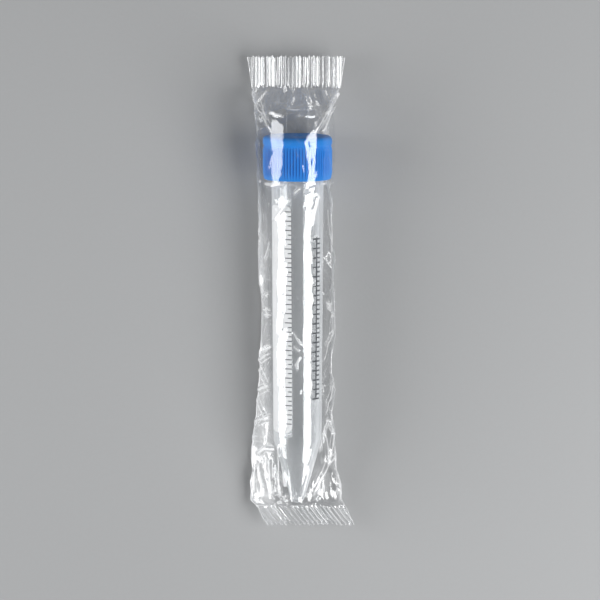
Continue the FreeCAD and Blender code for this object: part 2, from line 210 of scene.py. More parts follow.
class Shader(TreeMaker):
    """A material whose nodes are written as sums."""

    def __init__(self, name: str) -> None:
        """Makes the material with its output and one Principled shader.

        Args:
            name: The material's name.
        """
        self.material = bpy.data.materials.new(name)
        self.material.use_nodes = True
        super().__init__(self.material.node_tree)
        self.tree.nodes.clear()
        self.surface = self.node("ShaderNodeBsdfPrincipled")
        output = self.node("ShaderNodeOutputMaterial")
        self.tree.links.new(self.surface.outputs[0], output.inputs["Surface"])
        self.place = self.node("ShaderNodeTexCoord").outputs["Object"]

    def _stretched(self, size_mm: float, stretch: Sequence[float]) -> bpy.types.NodeSocket:
        """The place of a point, in steps of a true size along each axis."""
        scale = [1.0 / (size_mm * MM * times) for times in stretch]
        return self.node("ShaderNodeMapping", inputs={"Vector": self.place, "Scale": scale}).outputs[0]

    def noise(self, size_mm: float, detail: float = 3.0, stretch: Sequence[float] = (1, 1, 1)) -> Value:
        """Noise of a true size.

        Args:
            size_mm: Size of its largest spots.
            detail: Octaves.
            stretch: How much longer the spots are along each axis.

        Returns:
            Numbers round 0.5.
        """
        inputs = {"Vector": self._stretched(size_mm, stretch), "Scale": 1.0, "Detail": detail}
        made = self.node("ShaderNodeTexNoise", inputs=inputs)
        return Value(self, made.outputs[0])

    def scratches(self, size_mm: float, stretch: Sequence[float], width: float = 0.06) -> Value:
        """Fine long marks, 1 on a mark and 0 off it.

        Args:
            size_mm: Distance between them.
            stretch: How much longer they are along each axis.
            width: Their share of that distance.

        Returns:
            The mask.
        """
        inputs = {"Vector": self._stretched(size_mm, stretch), "Scale": 1.0}
        made = self.node("ShaderNodeTexVoronoi", {"feature": "DISTANCE_TO_EDGE"}, inputs)
        return 1.0 - (Value(self, made.outputs[0]) / width).limited()

    def mixed(self, share: Term, low: Sequence[float], high: Sequence[float]) -> bpy.types.NodeSocket:
        """A colour between two.

        Args:
            share: 0 for low, 1 for high.
            low: Linear colour.
            high: Linear colour.

        Returns:
            The colour socket.
        """
        made = self.node(
            "ShaderNodeMix",
            {"data_type": "RGBA"},
            {"Factor": share, 6: (*low, 1.0), 7: (*high, 1.0)},
        )
        return made.outputs[2]

    def attribute(self, name: str) -> Value:
        """A number that the mesh holds for each of its corners."""
        settings = {"attribute_type": "GEOMETRY", "attribute_name": name}
        return Value(self, self.node("ShaderNodeAttribute", settings).outputs["Fac"])

    def glancing(self, least: float) -> Value:
        """Share of light that a clear surface reflects, more at a glancing view.

        Args:
            least: The share seen straight on.

        Returns:
            The share, the same from both sides of the surface.
        """
        weight = self.node("ShaderNodeLayerWeight", inputs={"Blend": 0.5})
        return least + (1.0 - least) * Value(self, weight.outputs["Facing"]) ** 5.0

    def bump(self, height: Value, depth_mm: float) -> None:
        """Raises the surface's look by a height from 0 to 1.

        Args:
            height: The pattern.
            depth_mm: Its depth.
        """
        made = self.node("ShaderNodeBump", inputs={"Height": height, "Distance": depth_mm * MM})
        self.feed({"Normal": made.outputs[0]})

    def feed(self, inputs: dict) -> None:
        """Sets or links sockets of the Principled shader."""
        self.fill(self.surface, inputs)


# ---------------------------------------------------------------- finishes


@dataclass(frozen=True)
class FilmFinish:
    """Clear wrapping film: mirror-like where it is smooth, milky where it is creased."""

    name: str
    tint: tuple[float, float, float] = (0.93, 0.95, 0.97)
    haze: float = 0.006
    crease_haze: float = 0.50
    cloud_haze: float = 0.36
    line_haze: float = 0.03
    gloss: float = 0.105
    roughness: float = 0.10
    grain: float = 0.035
    cloud_dulling: float = 0.12
    crease_dulling: float = 0.22
    milky: tuple[float, float, float] = (0.98, 0.98, 0.98)

    def material(self) -> bpy.types.Material:
        """Builds the material.

        Returns:
            The material with all its nodes.
        """
        made = Shader(self.name)
        crease = made.attribute("crease")
        cloud = made.attribute("cloud")
        mottle = made.noise(5.0, 4.0, (1.0, 2.0, 1.0))
        fine = made.noise(0.7, 3.0, (1.0, 2.5, 1.0))
        lines = made.scratches(6.0, (1.0, 3.0, 1.0), 0.02)
        haze = self.haze * (0.5 + mottle) + self.crease_haze * crease
        haze = haze + self.cloud_haze * cloud * (0.35 + 1.3 * mottle) + self.line_haze * lines
        mirror = made.glancing(self.gloss)
        made.feed(
            {
                "Base Color": made.mixed(mottle, self.tint, self.milky),
                "Roughness": (
                    self.roughness + self.cloud_dulling * mottle * cloud + self.crease_dulling * crease
                ).limited(),
                "Metallic": (mirror / (mirror + haze)).limited(),
                "Alpha": (mirror + haze).limited(),
                "IOR": PLASTIC_IOR,
            }
        )
        made.bump(fine * 0.6 + mottle, self.grain)
        return made.material


@dataclass(frozen=True)
class ClearFinish:
    """Moulded clear plastic, a little milky, with fine scuffs, and painted light at glancing angles: a
    pale veil that stands in for the light the walls bend near the tube's edges.
    """

    name: str
    tint: tuple[float, float, float] = (0.86, 0.89, 0.91)
    # Painted edge light: colour of the veil seen at glancing angles, in place of the walls' refraction.
    edge_tint: tuple[float, float, float] = (0.90, 0.92, 0.94)
    haze: float = 0.10
    edge_haze: float = 0.92
    gloss: float = 0.075
    roughness: float = 0.07
    edge_power: float = 1.9
    scuff_haze: float = 0.08
    grain: float = 0.02

    def material(self) -> bpy.types.Material:
        """Builds the material.

        Returns:
            The material with all its nodes.
        """
        made = Shader(self.name)
        # Painted light: a pale veil that grows towards the silhouette, standing in for the light the
        # walls bend there.
        weight = made.node("ShaderNodeLayerWeight", inputs={"Blend": 0.5})
        edge = made.value(weight.outputs["Facing"]) ** self.edge_power
        flow = made.noise(9.0, 2.0, (1.0, 5.0, 1.0))
        scuff = made.scratches(3.5, (1.0, 6.0, 1.0), 0.015) * made.noise(8.0).above(0.55)
        mirror = made.glancing(self.gloss)
        haze = self.haze * (0.6 + 0.8 * flow) + self.edge_haze * edge + self.scuff_haze * scuff
        made.feed(
            {
                "Base Color": made.mixed(edge, self.tint, self.edge_tint),
                "Roughness": (self.roughness + 0.05 * flow + 0.3 * scuff).limited(),
                "Metallic": (mirror / (mirror + haze)).limited(),
                "Alpha": (mirror + haze).limited(),
                "IOR": PLASTIC_IOR,
            }
        )
        made.bump(flow + 0.3 * scuff, self.grain)
        return made.material


@dataclass(frozen=True)
class CapFinish:
    """Coloured moulded plastic with rubbed high spots and specks of dust."""

    name: str
    colour: tuple[float, float, float] = (0.0, 0.21, 0.69)
    rubbed: tuple[float, float, float] = (0.0, 0.28, 0.80)
    roughness: float = 0.46
    grain: float = 0.02

    def material(self) -> bpy.types.Material:
        """Builds the material.

        Returns:
            The material with all its nodes.
        """
        made = Shader(self.name)
        mottle = made.noise(4.0, 4.0)
        grain = made.noise(0.12, 2.0)
        dust = made.noise(0.9, 3.0).above(0.69) * 0.35
        geometry = made.node("ShaderNodeNewGeometry")
        edge = ((made.value(geometry.outputs["Pointiness"]) - 0.52) * 9.0).limited()
        share = (0.30 * mottle + 0.55 * edge + dust).limited()
        made.feed(
            {
                "Base Color": made.mixed(share, self.colour, self.rubbed),
                "Roughness": (self.roughness + 0.14 * (mottle - 0.5) + 0.10 * grain).limited(),
                "IOR": 1.3,
            }
        )
        made.bump(grain * 0.5 + mottle, self.grain)
        return made.material


@dataclass(frozen=True)
class InkFinish:
    """Screen-printed ink with pinholes and light rubbing."""

    name: str
    colour: tuple[float, float, float]
    worn: tuple[float, float, float]
    cover: float = 0.94
    roughness: float = 0.5
    grain: float = 0.015

    def material(self) -> bpy.types.Material:
        """Builds the material.

        Returns:
            The material with all its nodes.
        """
        made = Shader(self.name)
        cloud = made.noise(2.5, 4.0)
        pinholes = made.noise(0.25, 2.0).above(0.71)
        rubbed = made.scratches(2.2, (1.0, 5.0, 1.0), 0.03)
        wear = cloud * 0.5 + rubbed * 0.4
        gaps = 0.35 * pinholes + 0.12 * rubbed + 0.1 * cloud
        made.feed(
            {
                "Base Color": made.mixed(wear.limited(), self.colour, self.worn),
                "Roughness": self.roughness + 0.2 * cloud,
                "Alpha": (self.cover - gaps).limited(),
            }
        )
        made.bump(cloud + pinholes * -0.5, self.grain)
        return made.material


@dataclass(frozen=True)
class FoamFinish:
    """Closed-cell foam of the liner."""

    name: str
    colour: tuple[float, float, float] = (0.80, 0.80, 0.76)
    open_cells: tuple[float, float, float] = (0.88, 0.88, 0.86)

    def material(self) -> bpy.types.Material:
        """Builds the material.

        Returns:
            The material with all its nodes.
        """
        made = Shader(self.name)
        cells = made.noise(0.3, 3.0)
        made.feed(
            {
                "Base Color": made.mixed(cells, self.colour, self.open_cells),
                "Roughness": 0.6 + 0.25 * cells,
            }
        )
        made.bump(cells, 0.04)
        return made.material


@dataclass(frozen=True)
class FloorFinish:
    """Plain pale paper floor."""

    name: str
    colour: tuple[float, float, float] = (0.36, 0.365, 0.37)
    fibre: tuple[float, float, float] = (0.38, 0.385, 0.39)

    def material(self) -> bpy.types.Material:
        """Builds the material.

        Returns:
            The material with all its nodes.
        """
        made = Shader(self.name)
        fibres = made.noise(1.2, 5.0)
        made.feed(
            {
                "Base Color": made.mixed(fibres, self.colour, self.fibre),
                "Roughness": 0.75 + 0.15 * fibres,
            }
        )
        made.bump(fibres, 0.03)
        return made.material


# ---------------------------------------------------------------- meshes


def add_object(name: str, data: bpy.types.ID) -> bpy.types.Object:
    """Puts a mesh, text, light or camera into the scene.

    Args:
        name: The object's name.
        data: What it shows.

    Returns:
        The object, at the origin.
    """
    made = bpy.data.objects.new(name, data)
    bpy.context.scene.collection.objects.link(made)
    return made


def real_mesh(holder: bpy.types.Object) -> bpy.types.Mesh:
    """Turns an object's finished shape into a plain mesh and takes the object away.

    Args:
        holder: An object with a modifier, or a text.

    Returns:
        The mesh.
    """
    bpy.context.view_layer.update()
    graph = bpy.context.evaluated_depsgraph_get()
    mesh = bpy.data.meshes.new_from_object(holder.evaluated_get(graph))
    bpy.data.objects.remove(holder)
    return mesh


def make_piece(
    name: str, points: np.ndarray, faces: Iterable[Sequence[int]], smooth: bool = True
) -> bpy.types.Object:
    """Makes an object from points in millimetres.

    Args:
        name: The piece's name.
        points: Its corners, one row each.
        faces: Corner numbers of each face.
        smooth: Whether it is shaded smooth.

    Returns:
        The object, at the origin, in metres.
    """
    mesh = bpy.data.meshes.new(name)
    mesh.from_pydata((np.asarray(points) * MM).tolist(), [], [list(face) for face in faces])
    mesh.update()
    mesh.polygons.foreach_set("use_smooth", [smooth] * len(mesh.polygons))
    return add_object(name, mesh)


def close_up(piece: bpy.types.Object, distance_mm: float = 0.001) -> None:
    """Merges doubled corners of a closed shell and turns its faces outwards.

    Args:
        piece: The shell.
        distance_mm: How close two corners are to be one.
    """
    grown = bmesh.new()
    grown.from_mesh(piece.data)
    bmesh.ops.remove_doubles(grown, verts=grown.verts, dist=distance_mm * MM)
    bmesh.ops.recalc_face_normals(grown, faces=grown.faces)
    grown.to_mesh(piece.data)
    grown.free()


def sharpen(piece: bpy.types.Object, degrees: float) -> None:
    """Keeps edges sharper than an angle crisp under smooth shading."""
    piece.data.set_sharp_from_angle(angle=math.radians(degrees))


def grid_faces(rows: int, columns: int, around: bool) -> list[tuple[int, int, int, int]]:
    """Four-cornered faces of a grid of corners.

    Args:
        rows: Number of rows of corners.
        columns: Corners in each row.
        around: Whether each row closes on itself.

    Returns:
        The faces.
    """
    faces = []
    for near in range(0, (rows - 1) * columns, columns):
        far = near + columns
        for here in range(columns if around else columns - 1):
            after = (here + 1) % columns
            faces.append((near + here, near + after, far + after, far + here))
    return faces


def dress(piece: bpy.types.Object, material: bpy.types.Material) -> None:
    """Gives a piece its material.

    Args:
        piece: The piece.
        material: Its only material.
    """
    piece.data.materials.clear()
    piece.data.materials.append(material)


def mark_film(piece: bpy.types.Object, crease: np.ndarray, cloud: np.ndarray) -> None:
    """Stores with each corner of a piece of film how creased and how milky it is.

    Args:
        piece: The piece.
        crease: Numbers from 0 to 1.
        cloud: Numbers from 0 to 1.
    """
    for title, values in (("crease", crease), ("cloud", cloud)):
        layer = piece.data.attributes.new(title, "FLOAT", "POINT")
        layer.data.foreach_set("value", values.astype(np.float32).ravel())


def thread_section(root: float, crest: float) -> list[Point]:
    """Radius and distance along of a thread ridge's corners."""
    wide, narrow = THREAD_HALF_WIDTHS
    return [(root, -wide), (crest, -narrow), (crest, narrow), (root, wide)]


def arc(centre: Point, radius: float, start: float, end: float, steps: int) -> list[Point]:
    """Points on an arc, angles in degrees from the first axis."""
    angles = np.radians(np.linspace(start, end, steps))
    return [(centre[0] + radius * math.cos(a), centre[1] + radius * math.sin(a)) for a in angles]


@dataclass(frozen=True)
class LeaningAxis:
    """The line that tube, liner and cap share.

    Pieces on it are drawn with x across, y along it from the tube's tip and z up.
    """

    tip: Vector
    along: Vector
    turn_steps: int = 96
    run_out: int = 12

    @classmethod
    def from_joints(cls, joints: Sequence[dict]) -> "LeaningAxis":
        """Reads the line from the cap's hinge."""
        turn = next(joint for joint in joints if joint["name"] == "cap_turn")
        return cls(Vector(turn["pos_m"]) / MM, Vector(turn["axis"]).normalized())

    @property
    def matrix(self) -> Matrix:
        """Where a piece drawn on the line comes to lie.

        Returns:
            The turn and move from the piece's own millimetres to the row's.
        """
        across = Vector((1, 0, 0))
        up = across.cross(self.along)
        turned = Matrix((across, self.along, up)).transposed().to_4x4()
        return Matrix.Translation(self.tip) @ turned

    def lay(self, points: np.ndarray) -> np.ndarray:
        """Points of a piece in row millimetres."""
        matrix = np.array(self.matrix)
        return np.asarray(points) @ matrix[:3, :3].T + matrix[:3, 3]

    def unlay(self, points: np.ndarray) -> np.ndarray:
        """Row millimetres as the piece's own."""
        matrix = np.array(self.matrix.inverted())
        return np.asarray(points) @ matrix[:3, :3].T + matrix[:3, 3]

    def turned(self, name: str, profile: Sequence[Point], segments: int) -> bpy.types.Object:
        """Makes a closed shell by turning a profile about the line.

        Args:
            name: The piece's name.
            profile: Radius and distance along, from pole to pole or as a closed loop.
            segments: Steps round.

        Returns:
            The piece.
        """
        loop = profile[0][0] > 0
        rows = list(profile) + ([profile[0]] if loop else [])
        angles = np.linspace(0, 2 * math.pi, segments, endpoint=False)
        points = [
            (radius * math.sin(a), s, radius * math.cos(a)) for radius, s in rows for a in angles
        ]
        made = make_piece(name, self.lay(np.array(points)), grid_faces(len(rows), segments, True))
        close_up(made)
        return made

    def ridge(
        self, name: str, section: Sequence[Point], low: float, lead: float, turns: float
    ) -> bpy.types.Object:
        """Makes a right-hand thread ridge with ends that run out.

        Args:
            name: The piece's name.
            section: Radius and distance along of its corners, about its own middle.
            low: Distance along where it starts.
            lead: Climb in one turn.
            turns: Number of turns.

        Returns:
            The piece.
        """
        steps = int(self.turn_steps * turns)
        root = section[0][0]
        points = []
        for i in range(steps + 1):
            angle = 2 * math.pi * turns * i / steps
            size = min(1.0, self.run_out * min(i, steps - i) / steps) ** 0.5
            for radius, s in section:
                reach = root + (radius - root) * size
                spot = low + lead * turns * i / steps + s * (0.4 + 0.6 * size)
                points.append((reach * math.sin(angle), spot, reach * math.cos(angle)))
        count = len(section)
        faces = grid_faces(steps + 1, count, True)
        faces += [tuple(range(count)), tuple(range(steps * count, (steps + 1) * count))]
        made = make_piece(name, self.lay(np.array(points)), faces)
        close_up(made)
        sharpen(made, 40)
        return made


class GeometryTree(TreeMaker):
    """A Geometry Nodes tree with named inputs, turned into a plain mesh."""

    def __init__(self, name: str, sizes: dict[str, Number]) -> None:
        """Makes the tree with its inputs.

        Args:
            name: The tree's name.
            sizes: Input names and their values; whole numbers become integer inputs.
        """
        super().__init__(bpy.data.node_groups.new(name, "GeometryNodeTree"))
        self.sizes = sizes
        self.tree.interface.new_socket("Geometry", in_out="OUTPUT", socket_type="NodeSocketGeometry")
        for title, value in sizes.items():
            kind = "NodeSocketInt" if isinstance(value, int) else "NodeSocketFloat"
            self.tree.interface.new_socket(title, in_out="INPUT", socket_type=kind)
        self.tree.interface.new_socket("Material", in_out="INPUT", socket_type="NodeSocketMaterial")
        self.inputs = self.tree.nodes.new("NodeGroupInput")

    def size(self, title: str) -> Value:
        """A named input as a value."""
        return Value(self, self.inputs.outputs[title])

    def mesh(
        self, geometry: bpy.types.NodeSocket, name: str, material: bpy.types.Material
    ) -> bpy.types.Object:
        """Ends the tree and turns its result into a piece.

        Args:
            geometry: The result before it is made real.
            name: The piece's name.
            material: Its material.

        Returns:
            The piece, in the tree's millimetres.
        """
        real = self.node("GeometryNodeRealizeInstances", inputs={0: geometry})
        inked = self.node(
            "GeometryNodeSetMaterial",
            inputs={"Geometry": real.outputs[0], "Material": self.inputs.outputs["Material"]},
        )
        self.node("NodeGroupOutput", inputs={0: inked.outputs[0]})
        holder = make_piece(f"{name}_seed", np.zeros((1, 3)), [])
        modifier = holder.modifiers.new("made", "NODES")
        modifier.node_group = self.tree
        wanted = {**self.sizes, "Material": material}
        for item in self.tree.interface.items_tree:
            if item.in_out == "INPUT":
                modifier[item.identifier] = wanted[item.name]
        mesh = real_mesh(holder)
        mesh.name = name
        return add_object(name, mesh)


# ---------------------------------------------------------------- tube


@dataclass(frozen=True)
class MarkRow:
    """A row of printed marks: where their right ends lie in degrees from the top, and their sizes."""

    name: str
    turn: float
    count: int
    low: float
    pitch: float
    widths: Point
    line: float
    lift: float = 0.0


SIDE_SCALE = (
    MarkRow("side_scale_rungs", 60.0, 35, 35.0, 1.53, (3.4, 2.0), 0.5),
    MarkRow("side_scale_spine", 50.0, 106, 35.0, 0.5, (0.6, 0.6), 0.5),
)


@dataclass
class Tube:
    """Clear barrel with a conical bottom and a threaded neck, and what is printed on it."""

    axis: LeaningAxis
    height: float = 117.8
    shoulder_radius: float = 7.9
    top_radius: float = 8.45
    wall: float = 1.0
    cone: float = 20.8
    tip_radius: float = 2.45
    shoulder_bend: tuple[Point, ...] = ((0.35, -1.0), (0.08, -0.25), (0.0, 0.4))
    neck_radius: float = 8.3
    neck: float = 12.8
    lip: float = 0.35
    thread_depth: float = 0.9
    thread_lead: float = 3.0
    thread_turns: float = 1.5
    thread_low: float = 110.0
    ink: float = 0.05
    strip_low: float = 24.0
    strip_top: float = 98.0
    strip_from: float = -80.0
    strip_to: float = -12.5
    strip_corner: float = 2.2
    strip_grid: tuple[int, int] = (150, 40)
    tick_low: float = 27.0
    tick_pitch: float = 3.0
    tick_count: int = 24
    tick_widths: Point = (2.3, 1.2)
    tick_inset: float = 0.8
    tick_line: float = 0.3
    figure_height: float = 2.1
    figure_turn: float = 19.0
    clear: ClearFinish = ClearFinish("clear_tube_plastic")
    white: InkFinish = InkFinish("white_print", (0.93, 0.94, 0.95), (0.84, 0.86, 0.88), 0.97)
    dark: InkFinish = InkFinish("dark_print", (0.035, 0.04, 0.05), (0.16, 0.17, 0.19), 0.92)

    @property
    def slope(self) -> float:
        """Growth of the barrel's radius along it."""
        return (self.top_radius - self.shoulder_radius) / (self.height - self.neck - self.cone)

    def radius_at(self, s: np.ndarray) -> np.ndarray:
        """Outside radius of the tube.

        Args:
            s: Distances from the tip.

        Returns:
            The radii, 0 off the tube.
        """
        s = np.asarray(s, float)
        ball = np.sqrt(np.clip(self.tip_radius**2 - (s - self.tip_radius) ** 2, 0, None))
        foot = self.tip_radius * 0.9
        cone = foot + (self.shoulder_radius - foot) * s / self.cone
        barrel = self.shoulder_radius + self.slope * (s - self.cone)
        lower = np.where(s < self.tip_radius, np.maximum(ball, 0), cone)
        found = np.where(s < self.cone, lower, barrel)
        return np.where((s < 0) | (s > self.height), 0.0, found)

    def _wall_path(
        self, ball: float, foot: float, shoulder: float, top: Sequence[Point]
    ) -> list[Point]:
        """One side of the wall from its pole to its top.

        Args:
            ball: Radius of the round tip.
            foot: Distance along of the pole.
            shoulder: Radius at the cone's top.
            top: The rest of the path.

        Returns:
            The path.
        """
        middle = foot + ball
        lean = math.degrees(math.atan2(shoulder - ball, self.cone - middle))
        path = arc((0, middle), ball, -90, -lean, 9)
        path[0] = (0.0, foot)
        flare = [(shoulder - back, self.cone + ahead) for back, ahead in self.shoulder_bend]
        return path + flare + list(top)

    def build_walls(self) -> list[bpy.types.Object]:
        """Makes the barrel and the thread on its neck.

        Returns:
            Both pieces.
        """
        neck_low = self.height - self.neck
        lip = self.lip
        outside = self._wall_path(
            self.tip_radius,
            0.0,
            self.shoulder_radius,
            [
                (self.top_radius, neck_low - 0.15),
                (self.top_radius - 0.05, neck_low),
                (self.neck_radius, neck_low + 0.1),
                *arc((self.neck_radius - lip, self.height - lip), lip, 0, 90, 6),
            ],
        )
        mouth = self.neck_radius - self.wall
        inside = self._wall_path(
            self.tip_radius - self.wall,
            self.wall,
            self.shoulder_radius - self.wall,
            [(mouth, self.height - lip / 2), (mouth + lip / 3, self.height)],
        )
        barrel = self.axis.turned("tube_barrel", outside + inside[::-1], 144)
        sharpen(barrel, 55)
        section = thread_section(self.neck_radius - THREAD_BITE, self.neck_radius + self.thread_depth)
        thread = self.axis.ridge(
            "neck_thread", section, self.thread_low, self.thread_lead, self.thread_turns
        )
        material = self.clear.material()
        for piece in (barrel, thread):
            dress(piece, material)
        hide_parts("tube_body")
        return [barrel, thread]

    def wrapped(self, flat: np.ndarray, turn: float, lift: float) -> np.ndarray:
        """Bends flat artwork onto the barrel.

        Args:
            flat: Corners as (across, along, height) in millimetres.
            turn: Where across is 0, in degrees from the top.
            lift: Height of its underside above the barrel.

        Returns:
            The corners in the tube's own millimetres.
        """
        surface = self.radius_at(flat[:, 1])
        angle = math.radians(turn) + flat[:, 0] / surface
        reach = surface + lift + flat[:, 2]
        return np.column_stack((reach * np.sin(angle), flat[:, 1], reach * np.cos(angle)))

    def build_strip(self) -> bpy.types.Object:
        """Makes the white writing strip with rounded corners.

        Returns:
            The strip, a thin closed coat on the barrel.
        """
        rows, columns = self.strip_grid
        corner = self.strip_corner
        middle = math.radians((self.strip_from + self.strip_to) / 2)
        half = math.radians(self.strip_to - self.strip_from) / 2 * self.shoulder_radius
        points = []
        for lift in (0.0, self.ink):
            for s in np.linspace(self.strip_low, self.strip_top, rows):
                near = min(s - self.strip_low, self.strip_top - s)
                cut = corner - math.sqrt(max(corner**2 - max(corner - near, 0) ** 2, 0))
                for t in np.linspace(-1, 1, columns):
                    points.append((t * (half - cut), s, lift))
        flat = self.wrapped(np.array(points), math.degrees(middle), 0.0)
        lower = [face[::-1] for face in grid_faces(rows, columns, False)]
        step = rows * columns
        upper = [tuple(i + step for i in face[::-1]) for face in lower]
        rim = list(range(columns))
        rim += [r * columns + columns - 1 for r in range(1, rows)]
        rim += [(rows - 1) * columns + c for c in range(columns - 2, -1, -1)]
        rim += [r * columns for r in range(rows - 2, 0, -1)]
        sides = [(a, b, b + step, a + step) for a, b in zip(rim, rim[1:] + rim[:1])]
        made = make_piece("writing_strip_print", self.axis.lay(flat), lower + upper + sides)
        close_up(made, 0.0002)
        sharpen(made, 50)
        dress(made, self.white.material())
        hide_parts("writing_strip")
        return made

    def _marks(self, row: MarkRow, material: bpy.types.Material) -> bpy.types.Object:
        """Makes one row of printed marks.

        Args:
            row: Its place and sizes.
            material: Its ink.

        Returns:
            The piece.
        """
        tree = GeometryTree(
            f"{row.name}_tree",
            {
                "Count": row.count,
                "First": row.low,
                "Pitch": row.pitch,
                "Even Width": row.widths[0],
                "Odd Width": row.widths[1],
                "Line": row.line,
                "Ink": self.ink,
                "Turn": math.radians(row.turn),
                "Lift": row.lift,
                "Shoulder Radius": self.shoulder_radius,
                "Slope": self.slope,
                "Cone": self.cone,
            },
        )
        spots = tree.node(
            "GeometryNodeMeshLine",
            {"mode": "OFFSET"},
            {
                "Count": tree.size("Count"),
                "Start Location": tree.joined(0, tree.size("First"), 0),
                "Offset": tree.joined(0, tree.size("Pitch"), 0),
            },
        )
        mark = tree.node(
            "GeometryNodeMeshCube",
            inputs={
                "Size": tree.joined(1, tree.size("Line"), tree.size("Ink")),
                "Vertices X": 6,
                "Vertices Y": 2,
                "Vertices Z": 2,
            },
        )
        index = Value(tree, tree.node("GeometryNodeInputIndex").outputs[0])
        odd = index % 2.0
        width = tree.size("Even Width") * (1.0 - odd) + tree.size("Odd Width") * odd
        placed = tree.node(
            "GeometryNodeInstanceOnPoints",
            inputs={
                "Points": spots.outputs[0],
                "Instance": mark.outputs[0],
                "Scale": tree.joined(width, 1, 1),
            },
        )
        shifted = tree.node(
            "GeometryNodeTranslateInstances",
            inputs={
                "Instances": placed.outputs[0],
                "Translation": tree.joined(width * -0.5, 0, 0),
                "Local Space": False,
            },
        )
        real = tree.node("GeometryNodeRealizeInstances", inputs={0: shifted.outputs[0]})
        x, y, z = tree.split(tree.node("GeometryNodeInputPosition").outputs[0])
        surface = tree.size("Shoulder Radius") + tree.size("Slope") * (y - tree.size("Cone"))
        reach = surface + tree.size("Lift") + z + tree.size("Ink") * 0.5
        angle = tree.size("Turn") + x / surface
        bent = tree.node(
            "GeometryNodeSetPosition",
            inputs={
                "Geometry": real.outputs[0],
                "Position": tree.joined(reach * angle.sin(), y, reach * angle.cos()),
            },
        )
        made = tree.mesh(bent.outputs[0], row.name, material)
        made.data.transform(Matrix.Scale(MM, 4) @ self.axis.matrix)
        return made

    def build_marks(self) -> list[bpy.types.Object]:
        """Makes the volume marks, their numbers and the plain scale on the other side.

        Returns:
            The pieces, all of dark ink.
        """
        ink = self.dark.material()
        volume = MarkRow(
            name="volume_marks",
            turn=self.strip_to - self.tick_inset,
            count=self.tick_count * 2 - 1,
            low=self.tick_low,
            pitch=self.tick_pitch / 2,
            widths=self.tick_widths,
            line=self.tick_line,
            lift=self.ink,
        )
        marks = self._marks(volume, ink)
        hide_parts("graduation_ticks")
        pieces = [marks, *(self._marks(row, ink) for row in SIDE_SCALE), self._numbers(self.ink)]
        for piece in pieces:
            dress(piece, ink)
        return pieces

    def _numbers(self, lift: float) -> bpy.types.Object:
        """Makes the volume numbers beside the long marks.

        Args:
            lift: Height of their underside above the barrel.

        Returns:
            The numbers as one piece.
        """
        corners, faces = [], []
        for step, volume in enumerate(range(2, 14)):
            curve = bpy.data.curves.new(f"number_{volume}", "FONT")
            curve.body = str(volume)
            curve.size = self.figure_height
            curve.extrude = self.ink / 2
            curve.align_x = "RIGHT"
            curve.align_y = "CENTER"
            curve.resolution_u = 3
            mesh = real_mesh(add_object(f"number_{volume}", curve))
            start = len(corners)
            s = self.tick_low + 2 * step * self.tick_pitch
            corners += [(v.co.x, v.co.y + s, v.co.z + self.ink / 2) for v in mesh.vertices]
            faces += [tuple(start + i for i in face.vertices) for face in mesh.polygons]
            bpy.data.meshes.remove(mesh)
        flat = self.wrapped(np.array(corners), self.strip_to - self.figure_turn, lift)
        made = make_piece("volume_numbers", self.axis.lay(flat), faces, smooth=False)
        close_up(made, 0.0002)
        return made


# ---------------------------------------------------------------- cap


